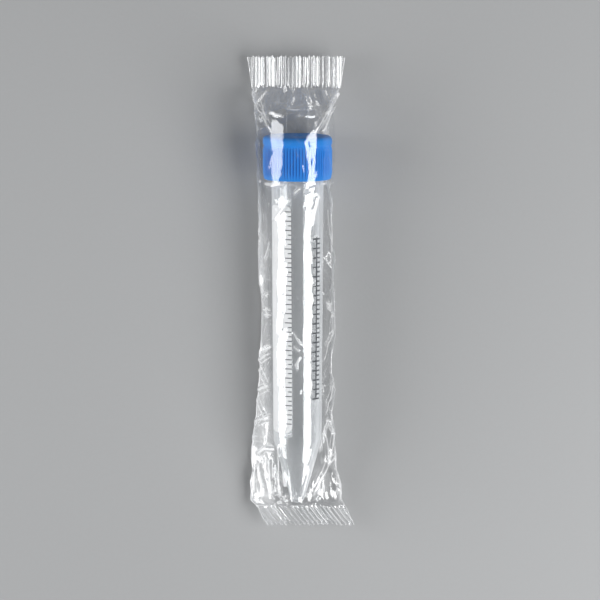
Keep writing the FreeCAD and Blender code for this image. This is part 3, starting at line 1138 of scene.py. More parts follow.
@dataclass
class Cap:
    """Ribbed screw cap: a turned shell, its inner thread and its ring of ribs."""

    axis: LeaningAxis
    top: float = 120.0
    height: float = 14.0
    radius: float = 11.2
    bore: float = 9.4
    roof: float = 1.4
    edge: float = 1.5
    rib_count: int = 72
    rib_depth: float = 0.4
    rib_root: float = 0.62
    rib_tip: float = 0.26
    rib_length: float = 10.6
    rib_lift: float = 0.35
    thread_depth: float = 0.9
    thread_lead: float = 3.0
    thread_turns: float = 1.5
    thread_low: float = 108.5
    roof_steps: tuple[Point, ...] = (
        (9.2, 0.0),
        (9.05, 0.12),
        (8.75, 0.12),
        (8.6, 0.0),
        (1.6, 0.02),
        (1.45, 0.14),
        (0.85, 0.14),
        (0.75, 0.04),
        (0.0, 0.03),
    )
    finish: CapFinish = CapFinish("blue_cap_plastic")

    def build(self) -> list[bpy.types.Object]:
        """Makes the cap's pieces.

        Returns:
            Shell, ribs and thread.
        """
        material = self.finish.material()
        shell = self._shell()
        ribs = self._ribs(material)
        section = thread_section(self.bore + THREAD_BITE, self.bore - self.thread_depth)
        thread = self.axis.ridge(
            "cap_thread", section, self.thread_low, self.thread_lead, self.thread_turns
        )
        pieces = [shell, ribs, thread]
        for piece in pieces:
            dress(piece, material)
        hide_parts("screw_cap")
        return pieces

    def _shell(self) -> bpy.types.Object:
        """Turns the skirt, the smooth band and the roof with its moulded ring.

        Returns:
            The shell.
        """
        low = self.top - self.height
        core = self.radius - self.rib_depth
        band = low + self.rib_lift + self.rib_length
        edge = self.edge
        outside = [
            (self.bore, low + 0.15),
            (self.bore + 0.15, low),
            (core - 0.2, low),
            (core, low + 0.2),
            (core, band),
            (core + 0.12, band + 0.22),
            (self.radius - 0.06, band + self.rib_depth - 0.06),
            (self.radius, band + self.rib_depth + 0.15),
            *arc((self.radius - edge, self.top - edge), edge, 0, 90, 9),
            *((radius, self.top - depth) for radius, depth in self.roof_steps),
        ]
        inside = [
            (0.0, self.top - self.roof),
            (self.bore - 0.25, self.top - self.roof),
            (self.bore, self.top - self.roof - 0.25),
        ]
        made = self.axis.turned("cap_shell", inside + outside, self.rib_count * 3)
        sharpen(made, 38)
        return made

    def _ribs(self, material: bpy.types.Material) -> bpy.types.Object:
        """Makes the ring of ribs as instances of one rounded bar.

        Args:
            material: The cap's material.

        Returns:
            The ribs as one piece.
        """
        tree = GeometryTree(
            "cap_ribs_tree",
            {
                "Count": self.rib_count,
                "Core Radius": self.radius - self.rib_depth,
                "Depth": self.rib_depth,
                "Bite": 0.1,
                "Root Width": self.rib_root,
                "Tip Width": self.rib_tip,
                "Length": self.rib_length + 0.25,
                "Middle": self.top - self.height + self.rib_lift + self.rib_length / 2 + 0.1,
            },
        )
        ring = tree.node(
            "GeometryNodeMeshCircle",
            {"fill_type": "NONE"},
            {"Vertices": tree.size("Count"), "Radius": tree.size("Core Radius")},
        )
        bar = tree.node(
            "GeometryNodeMeshCube",
            inputs={"Size": (1, 1, 1), "Vertices X": 3, "Vertices Y": 4, "Vertices Z": 7},
        )
        x, y, z = tree.split(tree.node("GeometryNodeInputPosition").outputs[0])
        out = x + 0.5
        across = y * 2.0
        along = z * 2.0
        rounding = (1.0 - 0.22 * abs(across) ** 2.0) * (1.0 - 0.75 * abs(along) ** 14.0)
        reach = tree.size("Bite") * -1.0 + (tree.size("Depth") + tree.size("Bite")) * out * rounding
        width = tree.size("Root Width") - (tree.size("Root Width") - tree.size("Tip Width")) * out
        shaped = tree.node(
            "GeometryNodeSetPosition",
            inputs={
                "Geometry": bar.outputs[0],
                "Position": tree.joined(reach, across * 0.5 * width, z * tree.size("Length")),
            },
        )
        spot = tree.node("GeometryNodeInputPosition").outputs[0]
        facing = tree.node("FunctionNodeAlignRotationToVector", {"axis": "X"}, {"Vector": spot})
        placed = tree.node(
            "GeometryNodeInstanceOnPoints",
            inputs={
                "Points": ring.outputs[0],
                "Instance": shaped.outputs[0],
                "Rotation": facing.outputs[0],
            },
        )
        lifted = tree.node(
            "GeometryNodeTranslateInstances",
            inputs={
                "Instances": placed.outputs[0],
                "Translation": tree.joined(0, 0, tree.size("Middle")),
                "Local Space": False,
            },
        )
        made = tree.mesh(lifted.outputs[0], "cap_ribs", material)
        stand_up = Matrix.Rotation(math.radians(-90), 4, "X")
        made.data.transform(Matrix.Scale(MM, 4) @ self.axis.matrix @ stand_up)
        close_up(made, 0.0005)
        made.data.polygons.foreach_set("use_smooth", [True] * len(made.data.polygons))
        sharpen(made, 50)
        return made


# ---------------------------------------------------------------- wrapper


class Way(Enum):
    """Which way a random crease runs: degrees from lengthwise, and their spread."""

    LENGTHWISE = (0.0, 10.0)
    SLANTED = (38.0, 18.0)
    CROSSWISE = (88.0, 14.0)


@dataclass(frozen=True)
class Crimp:
    """Pressed ribs and waves of a weld.

    The shear slants the ribs, the crest is its place in a rib from 0 to 1, and the weld settles to flat
    over a distance. The band spaces the whiter and the clearer groups of ribs.
    """

    pitch: float
    shear: float
    crest: float
    phase: float
    height: float = 0.19
    wave_height: float = 0.9
    slow_wave: float = 0.52
    quick_wave: float = 0.93
    quick_share: float = 0.55
    settle: float = 7.0
    band: float = 0.16


@dataclass(frozen=True)
class Crease:
    """A crease seen from above: its route in row millimetres, its height and half width."""

    route: tuple[Point, ...]
    height: float = 0.5
    half_width: float = 0.9


CREASES = (
    Crease(((-14.1, 63.1), (-8.3, 52.8)), 0.9, 1.1),
    Crease(((-12.0, 64.0), (-9.5, 55.0)), 0.5, 0.8),
    Crease(((13.7, 65.7), (5.6, 52.8)), 0.9, 1.0),
    Crease(((12.5, 62.5), (7.9, 52.1)), 0.7, 0.8),
    Crease(((-8.2, 23.2), (-2.0, 31.3)), 0.5, 0.8),
    Crease(((1.0, 35.0), (-1.5, 32.3)), 0.4, 0.7),
    Crease(((6.1, 33.1), (6.9, 31.5), (5.5, 25.9), (5.0, 22.1)), 0.45, 0.8),
    Crease(((8.8, -2.3), (10.4, -6.1)), 0.6, 0.8),
    Crease(((11.2, 1.8), (11.3, -12.8), (9.6, -16.8), (8.2, -22.7)), 0.8, 0.9),
    Crease(((-11.3, -1.5), (-9.0, -0.4)), 0.6, 0.8),
    Crease(((-11.3, -6.1), (-8.3, -5.4)), 0.6, 0.7),
    Crease(((-11.3, -7.7), (-8.3, -7.2)), -0.5, 0.7),
    Crease(((-12.4, -19.8), (-8.3, -17.2)), -0.9, 1.0),
    Crease(((-1.7, -11.5), (1.2, -17.1)), 0.4, 0.8),
    Crease(((-1.7, -16.3), (1.2, -19.0)), 0.4, 0.7),
    Crease(((1.0, -19.5), (-0.6, -22.7), (0.1, -25.4)), 0.4, 0.8),
    Crease(((8.3, -43.3), (10.2, -55.7), (11.5, -46.7), (9.2, -40.8)), 0.8, 0.8),
    Crease(((12.6, -53.5), (10.2, -56.3), (7.4, -60.9), (4.9, -65.9)), 0.9, 1.0),
    Crease(((-7.2, -51.3), (-10.3, -51.0), (-13.4, -53.8)), 0.9, 1.1),
    Crease(((-12.8, -56.0), (-10.9, -64.4)), 0.8, 0.9),
    Crease(((-13.7, -56.6), (-14.0, -66.5)), 0.7, 0.8),
    Crease(((-9.1, -54.1), (-8.4, -66.5)), 0.8, 0.9),
    Crease(((-6.3, -48.6), (-5.4, -67.0)), 0.8, 1.0),
    Crease(((4.0, -56.3), (2.4, -62.8), (1.2, -67.2)), 0.5, 0.8),
    Crease(((-10.5, 10.0), (-9.0, 17.5)), 0.5, 0.8),
    Crease(((-12.8, -23.4), (-8.4, -19.2)), 1.0, 1.5),
    Crease(((-12.9, -25.0), (-9.4, -31.5)), 0.8, 1.2),
    Crease(((-13.4, -33.2), (-8.8, -29.9)), 1.0, 1.7),
    Crease(((-13.6, -35.0), (-9.6, -42.5)), 0.7, 1.2),
    Crease(((-14.0, -43.5), (-8.8, -40.0)), 1.0, 1.7),
    Crease(((11.5, -29.3), (8.9, -40.0)), 0.8, 0.9),
    Crease(((9.2, -2.0), (11.4, -9.5)), 0.6, 0.8),
    Crease(((9.5, 28.0), (10.6, 12.0)), 0.5, 0.8),
)


@dataclass
class Wrapper:
    """The clear film: a sleeve closed by a crimp at each end and a seam along its back.

    A section holds its y, left and right half width, base, centre, radius and flatness. Each depth holds
    how deep such creases are where the film lies on a part, and how much deeper where it is slack.
    """

    axis: LeaningAxis
    tube: Tube
    cap: Cap
    columns: int = 256
    row_step: float = 0.42
    seal_columns: int = 900
    weld_milk: float = 0.3
    ease: float = 0.55
    base: float = 0.33
    girth: float = 74.0
    seal_level: float = 5.05
    layer_gap: float = 0.12
    tube_travel: float = 3.0
    cap_travel: float = 7.5
    clearance: float = 0.16
    seam_room: float = 4.4
    seam_height: float = 0.32
    floor_gap: float = 0.05
    head_crimp: Crimp = Crimp(pitch=1.2, shear=0.0, crest=0.72, phase=0.4, band=-0.16)
    foot_crimp: Crimp = Crimp(pitch=1.5, shear=0.75, crest=0.5, phase=2.1)
    tooth_pitch: float = 1.5
    line_width: float = 0.5
    smoothing: Point = (5.0, 24.0)
    calm: Point = (-66.0, 63.0)
    random_creases: int = 620
    way_shares: tuple[float, float, float] = (0.36, 0.46, 0.18)
    head_share: float = 0.10
    foot_share: float = 0.06
    crease_reach: Point = (2.5, 11.0)
    crease_half_width: Point = (0.65, 1.9)
    crease_height: Point = (0.25, 1.0)
    crease_bow: float = 0.02
    facets: int = 90
    facet_lean: Point = (-1.1, 1.1)
    facet_reach: Point = (8.0, 22.0)
    facet_half_width: Point = (2.2, 4.8)
    random_depth: Point = (0.05, 0.27)
    facet_depth: Point = (0.05, 0.95)
    drawn_depth: Point = (0.55, 0.65)
    slack_gap: float = 3.0
    height_limits: Point = (-1.0, 0.85)
    seed: int = 11
    film: FilmFinish = FilmFinish("clear_film")
    weld: FilmFinish = FilmFinish(
        "welded_film", haze=0.03, cloud_haze=0.16, gloss=0.17, roughness=0.09, grain=0.012
    )
    fin: FilmFinish = FilmFinish(
        "back_film", crease_haze=0.12, cloud_haze=0.05, gloss=0.05, roughness=0.2
    )
    foot_edge: float = field(init=False)
    head_edge: float = field(init=False)
    foot_cut: float = field(init=False)
    head_cut: float = field(init=False)
    keys: list[Section] = field(init=False)
    rng: np.random.Generator = field(init=False)

    def __post_init__(self) -> None:
        """Reads the places of the seals and sets the sections."""
        names = ("film_sleeve", "head_crimp_seal", "foot_crimp_seal")
        sleeve, head, foot = (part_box(name) for name in names)
        self.foot_edge, self.head_edge = sleeve[0].y / MM, sleeve[1].y / MM
        self.foot_cut, self.head_cut = foot[0].y / MM, head[1].y / MM
        self.keys = self._sections()
        self.rng = np.random.default_rng(self.seed)

    def _at(self, s: float) -> tuple[float, float]:
        """Row y and z of the point of the axis at a distance from the tip."""
        spot = self.axis.tip + self.axis.along * s
        return spot.y, spot.z

    def _round(
        self, s: float, left: float, right: float, radius: float, base: float | None = None
    ) -> Section:
        """A section where the film lies round the tube or cap."""
        y, z = self._at(s)
        return (y, left, right, self.base if base is None else base, z, radius + self.ease, 0.0)

    def _flat(self, y: float, left: float, right: float) -> Section:
        """A section where two layers lie together."""
        level = self.seal_level
        return (y, left, right, level - self.layer_gap, level, self.layer_gap, 0.985)

    def _sections(self) -> list[Section]:
        """The sections that were measured, from foot to head.

        Returns:
            The sections in order along the row.
        """
        tube, cap = self.tube, self.cap
        rim = cap.top - cap.height
        barrel = tube.radius_at
        return [
            self._flat(self.foot_cut - 1.0, 9.6, 19.0),
            self._flat(self.foot_cut, 10.2, 18.6),
            self._flat(self.foot_edge, 13.2, 15.8),
            self._round(0.0, 15.4, 14.1, tube.tip_radius, 2.6),
            self._round(8.0, 15.6, 13.3, float(barrel(8.0)), 1.7),
            self._round(tube.cone, 14.5, 12.0, tube.shoulder_radius),
            self._round(45.0, 12.5, 11.6, float(barrel(45.0))),
            self._round(65.0, 11.7, 11.8, float(barrel(65.0))),
            self._round(86.0, 12.2, 11.8, float(barrel(86.0))),
            self._round(rim - 7.0, 12.9, 11.4, float(barrel(rim - 7.0))),
            (self._at(rim - 1.0)[0], *self._round(rim, 13.3, 9.5, cap.radius)[1:]),
            self._round(cap.top + 0.3, 13.6, 10.0, cap.radius + 0.6),
            self._round(cap.top + self.cap_travel + 1.0, 13.9, 10.5, cap.radius - 0.35),
            self._flat(self.head_edge, 14.9, 14.0),
            self._flat(self.head_cut, 16.4, 15.4),
            self._flat(self.head_cut + 1.0, 16.5, 15.5),
        ]

    def _section_rows(self, ys: np.ndarray) -> np.ndarray:
        """Finds smoothed sections at any places along.

        Args:
            ys: The places, in row millimetres.

        Returns:
            A row of numbers for each place, without the place itself.
        """
        keys = np.array(self.keys)
        fine = np.arange(keys[0, 0], keys[-1, 0], 0.1)
        half = 80
        kernels = []
        for spread in self.smoothing:
            kernel = np.exp(-0.5 * (np.arange(-half, half + 1) / spread) ** 2)
            kernels.append(kernel / kernel.sum())
        calm_from, calm_to = self.calm
        calm = np.clip(np.minimum(calm_to - fine, fine - calm_from) / 3.0, 0, 1)
        in_seal = (fine < self.foot_edge) | (fine > self.head_edge)
        near = np.minimum(np.abs(fine - self.foot_edge), np.abs(fine - self.head_edge)) / 1.2
        share = np.where(in_seal, 0.0, np.clip(near, 0, 1))
        found = []
        for column in range(1, keys.shape[1]):
            line = np.interp(fine, keys[:, 0], keys[:, column])
            padded = np.pad(line, half, mode="edge")
            crisp, gentle = (np.convolve(padded, kernel, mode="valid") for kernel in kernels)
            soft = crisp + (gentle - crisp) * calm
            is_width = column <= 2
            found.append(np.interp(ys, fine, line + (soft - line) * (1.0 if is_width else share)))
        return np.column_stack(found)

    def _outline(self, section: Sequence[float], count: int) -> np.ndarray:
        """Points at equal steps round one section, from the middle of its base to the right.

        Args:
            section: Left, right, base, centre, radius and flatness.
            count: Number of points.

        Returns:
            Rows of x and z.
        """
        left, right, base, centre, radius, flat = section
        fold = min(0.35, radius)
        route = [(0.0, base)]
        tops = []
        for side, half in ((1, right), (-1, left)):
            middle = np.array((side * flat * half, centre))
            corner = np.array((side * (half - fold), base + fold))
            offset = corner - middle
            distance = max(float(np.hypot(*offset)), radius - fold + 1e-6)
            tilt = math.atan2(offset[1], side * offset[0])
            opening = math.acos(min(1.0, (radius - fold) / distance))
            tops.append((middle, corner, tilt + opening))
        (mid_r, fold_r, from_r), (mid_l, fold_l, from_l) = tops
        quarter = math.pi / 2
        bends = (
            (fold_r, fold, 1, -quarter, from_r, 7),
            (mid_r, radius, 1, from_r, quarter, 48),
            (mid_l, radius, -1, quarter, from_l, 48),
            (fold_l, fold, -1, from_l, -quarter, 7),
        )
        for middle, reach, side, start, end, steps in bends:
            for angle in np.linspace(start, end, steps):
                across = side * reach * math.cos(angle)
                route.append((middle[0] + across, middle[1] + reach * math.sin(angle)))
        route.append((0.0, base))
        path = np.array(route)
        steps = np.hypot(*np.diff(path, axis=0).T)
        run = np.concatenate(([0.0], np.cumsum(steps)))
        wanted = np.linspace(0, run[-1], count, endpoint=False)
        return np.column_stack([np.interp(wanted, run, path[:, i]) for i in (0, 1)])

    def _surface(self, ys: np.ndarray, count: int) -> np.ndarray:
        """The smooth film before it is creased.

        Args:
            ys: Places along of its rows.
            count: Points in each row.

        Returns:
            Its points, as rows by columns by three.
        """
        sections = self._section_rows(ys)
        grid = np.empty((len(ys), count, 3))
        for row, (y, section) in enumerate(zip(ys, sections)):
            outline = self._outline(section, count)
            grid[row, :, 0] = outline[:, 0]
            grid[row, :, 1] = y
            grid[row, :, 2] = outline[:, 1]
        return grid

    @staticmethod
    def _normals(grid: np.ndarray) -> np.ndarray:
        """Outward directions of a grid that closes round its columns.

        Args:
            grid: Points, as rows by columns by three.

        Returns:
            A unit vector for each point.
        """
        across = np.roll(grid, -1, axis=1) - np.roll(grid, 1, axis=1)
        found = -np.cross(across, np.gradient(grid, axis=0))
        length = np.linalg.norm(found, axis=2, keepdims=True)
        return found / np.maximum(length, 1e-9)

    def _seal_lift(self, grid: np.ndarray) -> tuple[np.ndarray, np.ndarray]:
        """Waves and pressed ribs of the welded ends.

        Args:
            grid: The smooth film.

        Returns:
            The rise of each point, and how whitened it is.
        """
        x, y = grid[:, :, 0], grid[:, :, 1]
        lift, white = np.zeros_like(x), np.zeros_like(x)
        ends = ((y - self.head_edge, self.head_crimp), (self.foot_edge - y, self.foot_crimp))
        for inside, crimp in ends:
            slid = x - crimp.shear * np.clip(inside, 0, None)
            reach = np.clip(1.0 + inside / crimp.settle, 0, 1) ** 2
            wave = np.sin(slid * crimp.slow_wave + crimp.phase)
            wave = wave + crimp.quick_share * np.sin(slid * crimp.quick_wave + crimp.phase * 2.3)
            lift += crimp.wave_height * reach * wave * (1 + 0.5 * np.clip(inside, 0, 12) / 10)
            share = np.clip(inside / 0.5, 0, 1)
            part = (slid / crimp.pitch) % 1.0
            tooth = np.where(part < crimp.crest, part / crimp.crest, (1 - part) / (1 - crimp.crest))
            lift -= crimp.height * share * np.cos(math.pi * tooth)
            uneven = 0.6 + 0.4 * np.sin(crimp.band * slid + 0.2)
            white = np.maximum(white, share * tooth**4 * uneven)
        return lift, white

    @staticmethod
    def _tent(distance: np.ndarray, half_width: float) -> np.ndarray:
        """Height across a crease, 1 on its line and 0 past its half width."""
        return np.clip(1.0 - np.abs(distance) / half_width, 0, None)

    def _from_line(
        self, girth_at: np.ndarray, ys: np.ndarray, spot: Point, angle: float
    ) -> tuple[np.ndarray, np.ndarray]:
        """Distances from a line on the unrolled film.

        Args:
            girth_at: Distance round of each point.
            ys: Places along of the rows.
            spot: A point of the line: distance round and place along.
            angle: Its turn from lengthwise.

        Returns:
            Distance along the line from its point, and distance off it.
        """
        dx = (girth_at - spot[0] + self.girth / 2) % self.girth - self.girth / 2
        dy = (ys - spot[1])[:, None]
        run = dx * math.sin(angle) + dy * math.cos(angle)
        off = dx * math.cos(angle) - dy * math.sin(angle)
        return run, off

    def _random_field(self, girth_at: np.ndarray, ys: np.ndarray) -> np.ndarray:
        """Random creases over the unrolled film.

        Args:
            girth_at: Distance round of each point.
            ys: Places along of the rows.

        Returns:
            Heights of about 1.
        """
        total = np.zeros_like(girth_at)
        rng = self.rng
        ways = rng.choice(list(Way), self.random_creases, p=self.way_shares)
        ends = rng.random(self.random_creases)
        for way, pick in zip(ways, ends):
            across = rng.uniform(0, self.girth)
            place = rng.uniform(self.foot_edge, self.head_edge)
            if pick < self.head_share:
                place = self.head_edge - rng.exponential(6.0)
            elif pick < self.head_share + self.foot_share:
                place = self.foot_edge + rng.exponential(7.0)
            middle, spread = way.value
            angle = math.radians(rng.normal(middle, spread)) * rng.choice((-1, 1))
            reach = rng.uniform(*self.crease_reach)
            half_width = rng.uniform(*self.crease_half_width)
            height = rng.uniform(*self.crease_height) * rng.choice((-1, 1), p=(0.4, 0.6))
            rows = np.abs(ys - place) < reach + half_width + 0.5
            if not rows.any():
                continue
            run, off = self._from_line(girth_at[rows], ys[rows], (across, place), angle)
            off = off + self.crease_bow * run**2 * rng.normal(0, 1)
            window = np.clip(1.0 - (run / reach) ** 2, 0, None)
            total[rows] += height * self._tent(off, half_width) * window
        return total

    def _broad_field(self, girth_at: np.ndarray, ys: np.ndarray) -> np.ndarray:
        """Large flat facets of the slack film.

        Args:
            girth_at: Distance round of each point.
            ys: Places along of the rows.

        Returns:
            Heights of about 1.
        """
        total = np.zeros_like(girth_at)
        rng = np.random.default_rng(self.seed + 5)
        for _ in range(self.facets):
            spot = rng.uniform(0, self.girth), rng.uniform(self.foot_edge, self.head_edge)
            angle = rng.uniform(*self.facet_lean)
            reach, half_width = rng.uniform(*self.facet_reach), rng.uniform(*self.facet_half_width)
            height = rng.uniform(-1, 1)
            run, off = self._from_line(girth_at, ys, spot, angle)
            total += height * self._tent(off, half_width) * np.clip(1 - (run / reach) ** 2, 0, None)
        return total

    def _drawn_field(self, grid: np.ndarray, normals: np.ndarray) -> tuple[np.ndarray, np.ndarray]:
        """The listed creases, on the upper side only.

        Args:
            grid: The smooth film.
            normals: Its outward directions.

        Returns:
            Their heights, and how whitened their lines are.
        """
        x, y, z = (grid[:, :, i] for i in range(3))
        sections = self._section_rows(grid[:, 0, 1])
        upper = z > (sections[:, 2] + 0.6)[:, None]
        steep = np.abs(normals[:, :, 0]) / np.maximum(normals[:, :, 2], 0.25)
        total = np.zeros_like(x)
        lines = np.zeros_like(x)
        for crease in CREASES:
            best = np.zeros_like(x)
            last = len(crease.route) - 2
            for i, (a, b) in enumerate(zip(crease.route, crease.route[1:])):
                ax, ay = a
                dx, dy = b[0] - ax, b[1] - ay
                length = math.hypot(dx, dy)
                run = ((x - ax) * dx + (y - ay) * dy) / length
                off = ((x - ax) * dy - (y - ay) * dx) / length
                off = off * (1.0 + (steep * dy / length) ** 2) ** 0.32
                start = 0.0 if i == 0 else -0.3
                end = length if i == last else length + 0.3
                inside = (run > start) & (run < end)
                fade = np.ones_like(x)
                if i == 0:
                    fade = np.minimum(fade, np.clip(run / 1.5, 0, 1))
                if i == last:
                    fade = np.minimum(fade, np.clip((length - run) / 1.5, 0, 1))
                best = np.maximum(best, self._tent(off, crease.half_width) * fade * inside)
                lines = np.maximum(lines, self._tent(off, self.line_width) * fade * inside)
            total += crease.height * best
        return total * upper, lines * upper

    def _pleats(self, girth_at: np.ndarray, ys: np.ndarray) -> np.ndarray:
        """Gathers that run from the crimps into the sleeve.

        Args:
            girth_at: Distance round of each point.
            ys: Places along of the rows.

        Returns:
            Heights in millimetres.
        """
        head = np.exp(-np.clip(self.head_edge - ys, 0, None) / 6.0)[:, None]
        foot = np.exp(-np.clip(ys - self.foot_edge, 0, None) / 4.0)[:, None]
        turn = 2 * math.pi * girth_at / self.girth
        wander = 0.6 * np.sin(ys / 5.0)[:, None]
        pleat = np.sin(21 * turn + wander)
        pleat = pleat + 0.7 * np.sin(34 * turn + 1.3 - wander)
        pleat = pleat + 0.5 * np.sin(13 * turn + 4)
        return 0.2 * pleat * (head + 0.25 * foot)

    def _keep_clear(self, points: np.ndarray) -> np.ndarray:
        """Moves points out of the room that tube and cap sweep, and off the floor.

        Args:
            points: Points of the film.

        Returns:
            The moved points, in the same order.
        """
        own = self.axis.unlay(points.reshape(-1, 3))
        s, reach = own[:, 1], np.hypot(own[:, 0], own[:, 2])
        line = np.arange(-2, self.cap.top + 12, 0.1)
        need = np.zeros_like(line)
        low, high = self.cap.top - self.cap.height, self.cap.top
        for travel in np.linspace(0, self.tube_travel, 7):
            need = np.maximum(need, self.tube.radius_at(line - travel))
        swept = (line > low - 0.3) & (line < high + self.cap_travel + 0.35)
        need = np.where(swept, np.maximum(need, self.cap.radius), need)
        wanted = np.interp(s, line, need)
        wanted = np.where(wanted > 0.5, wanted + self.clearance, 0.0)
        scale = np.where(reach < wanted, wanted / np.maximum(reach, 1e-6), 1.0)
        own[:, 0] *= scale
        own[:, 2] *= scale
        moved = self.axis.lay(own)
        over_seam = np.abs(moved[:, 0]) < self.seam_room
        moved[:, 2] = np.maximum(moved[:, 2], np.where(over_seam, self.seam_height, self.floor_gap))
        return moved.reshape(points.shape)

    def _creased(self, ys: np.ndarray, count: int) -> tuple[np.ndarray, np.ndarray, np.ndarray]:
        """The film with all its creases.

        Args:
            ys: Places along.
            count: Points round.

        Returns:
            The grid, how sharply it is creased and how cloudy it is, both from 0 to 1.
        """
        grid = self._surface(ys, count)
        normals = self._normals(grid)
        girth_at = np.tile(np.linspace(0, self.girth, count, endpoint=False), (len(ys), 1))
        own = self.axis.unlay(grid.reshape(-1, 3))
        near = np.hypot(own[:, 0], own[:, 2]) - self.tube.radius_at(own[:, 1])
        low, high = self.cap.top - self.cap.height - 1, self.cap.top + self.cap_travel
        on_cap = (own[:, 1] > low) & (own[:, 1] < high)
        near = np.where(on_cap, np.hypot(own[:, 0], own[:, 2]) - self.cap.radius, near)
        slack = np.clip(near.reshape(grid.shape[:2]) / self.slack_gap, 0, 1)
        drawn, lines = self._drawn_field(grid, normals)
        height = np.zeros_like(slack)
        layers = (
            (self._random_field(girth_at, ys), self.random_depth),
            (self._broad_field(girth_at, ys), self.facet_depth),
            (drawn, self.drawn_depth),
        )
        for field_height, (on_part, more) in layers:
            height += field_height * (on_part + more * slack)
        height += self._pleats(girth_at, ys)
        inside = np.clip(np.minimum(ys - self.foot_edge, self.head_edge - ys) / 1.5, 0, 1)[:, None]
        height *= inside
        height = np.clip(height, *self.height_limits)
        moved = grid + normals * height[:, :, None]
        lift, white = self._seal_lift(grid)
        moved[:, :, 2] += lift
        moved = self._keep_clear(moved)
        bend = np.abs(np.roll(height, -1, 1) + np.roll(height, 1, 1) - 2 * height)
        bend[1:-1] += np.abs(height[2:] + height[:-2] - 2 * height[1:-1])
        sharp = np.clip((bend - 0.05) / 0.28, 0, 1) + self._folds(grid) + 0.8 * lines + white
        sharp = np.clip(sharp, 0, 1)
        return moved, sharp, self._cloud(grid, slack)

    @staticmethod
    def _folds(grid: np.ndarray) -> np.ndarray:
        """Where the smooth film is folded sharply, as at its two side edges.

        Args:
            grid: The smooth film.

        Returns:
            0 where it is flat and 1 on a fold.
        """
        ahead = np.roll(grid, -1, axis=1) - grid
        behind = grid - np.roll(grid, 1, axis=1)
        size = np.linalg.norm(ahead, axis=2) * np.linalg.norm(behind, axis=2)
        turn = np.arccos(np.clip((ahead * behind).sum(axis=2) / np.maximum(size, 1e-9), -1, 1))
        fold = np.clip((turn - 0.2) / 0.4, 0, 1)
        spread = fold
        for step, share in ((1, 0.9), (-1, 0.9), (2, 0.55), (-2, 0.55)):
            spread = np.maximum(spread, share * np.roll(fold, step, 1))
        return spread

    def _cloud(self, grid: np.ndarray, slack: np.ndarray) -> np.ndarray:
        """How milky the film is: most at its left margin and low on the left.

        Args:
            grid: The smooth film.
            slack: 0 where it lies on the tube or cap and 1 where it is free.

        Returns:
            Milkiness from 0 to 1.
        """
        x, y = grid[:, :, 0], grid[:, :, 1]
        margin = np.clip((-x - 6.0) / 4.0, 0, 1) * np.clip((34 - y) / 20, 0, 1)
        low_left = np.exp(-(((x + 10.5) / 5.0) ** 2) - ((y + 52) / 17.0) ** 2)
        low_right = 0.6 * np.exp(-(((x - 7) / 3.5) ** 2) - ((y + 63) / 5.0) ** 2)
        milky = np.clip(0.03 + 0.75 * margin + 0.45 * low_left + 0.7 * low_right, 0, 1)
        return milky * (0.4 + 0.6 * slack)

    def _piece(self, name: str, ys: np.ndarray, count: int, welded: float) -> bpy.types.Object:
        """Makes one zone of the film.

        Args:
            name: The piece's name.
            ys: Places along of its rows.
            count: Points in each row.
            welded: Milkiness that its weld adds.

        Returns:
            The piece, a single skin that is open at both ends.
        """
        grid, sharp, cloud = self._creased(ys, count)
        self._cut_ends(grid)
        faces = [face[::-1] for face in grid_faces(len(ys), count, True)]
        made = make_piece(name, grid.reshape(-1, 3), faces)
        mark_film(made, sharp, np.clip(cloud + welded, 0, 1))
        return made

    def _cut_ends(self, grid: np.ndarray) -> None:
        """Gives the two cut edges their small teeth.

        Args:
            grid: Points of a zone of the film, which are moved.
        """
        x, y = grid[:, :, 0], grid[:, :, 1]
        teeth = np.abs(((x / self.tooth_pitch) % 1.0) - 0.5) * 2
        ragged = 0.75 * teeth + 0.35 * np.sin(x * 0.7) ** 2
        for cut, edge in ((self.head_cut, self.head_edge), (self.foot_cut, self.foot_edge)):
            share = np.clip((y - edge) / (cut - edge), 0, 1) ** 4
            y -= math.copysign(1.0, cut) * ragged * share

    def build(self) -> list[bpy.types.Object]:
        """Makes the sleeve, its two crimps and the seam.

        Returns:
            The pieces, the sleeve first.
        """
        near_foot, near_head = self.foot_edge + 3.0, self.head_edge - 7.5
        middle = np.arange(near_foot, near_head, self.row_step)
        foot_rows = np.linspace(self.foot_edge, near_foot, 15)[:-1]
        head_rows = np.linspace(middle[-1], self.head_edge, 30)[1:]
        sleeve_rows = np.concatenate((foot_rows, middle, head_rows))
        head_rows = np.linspace(self.head_edge, self.head_cut, 24)
        foot_rows = np.linspace(self.foot_edge, self.foot_cut, 30)[::-1]
        sleeve = self._piece("film_sleeve_skin", sleeve_rows, self.columns, 0.0)
        head = self._piece("head_crimp", head_rows, self.seal_columns, self.weld_milk)
        foot = self._piece("foot_crimp", foot_rows, self.seal_columns, self.weld_milk)
        seam = self._seam()
        weld = self.weld.material()
        dress(sleeve, self.film.material())
        for piece in (head, foot):
            dress(piece, weld)
        dress(seam, self.fin.material())
        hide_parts("film_sleeve")
        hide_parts("head_crimp_seal")
        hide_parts("foot_crimp_seal")
        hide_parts("back_fin_seal")
        return [sleeve, head, foot, seam]

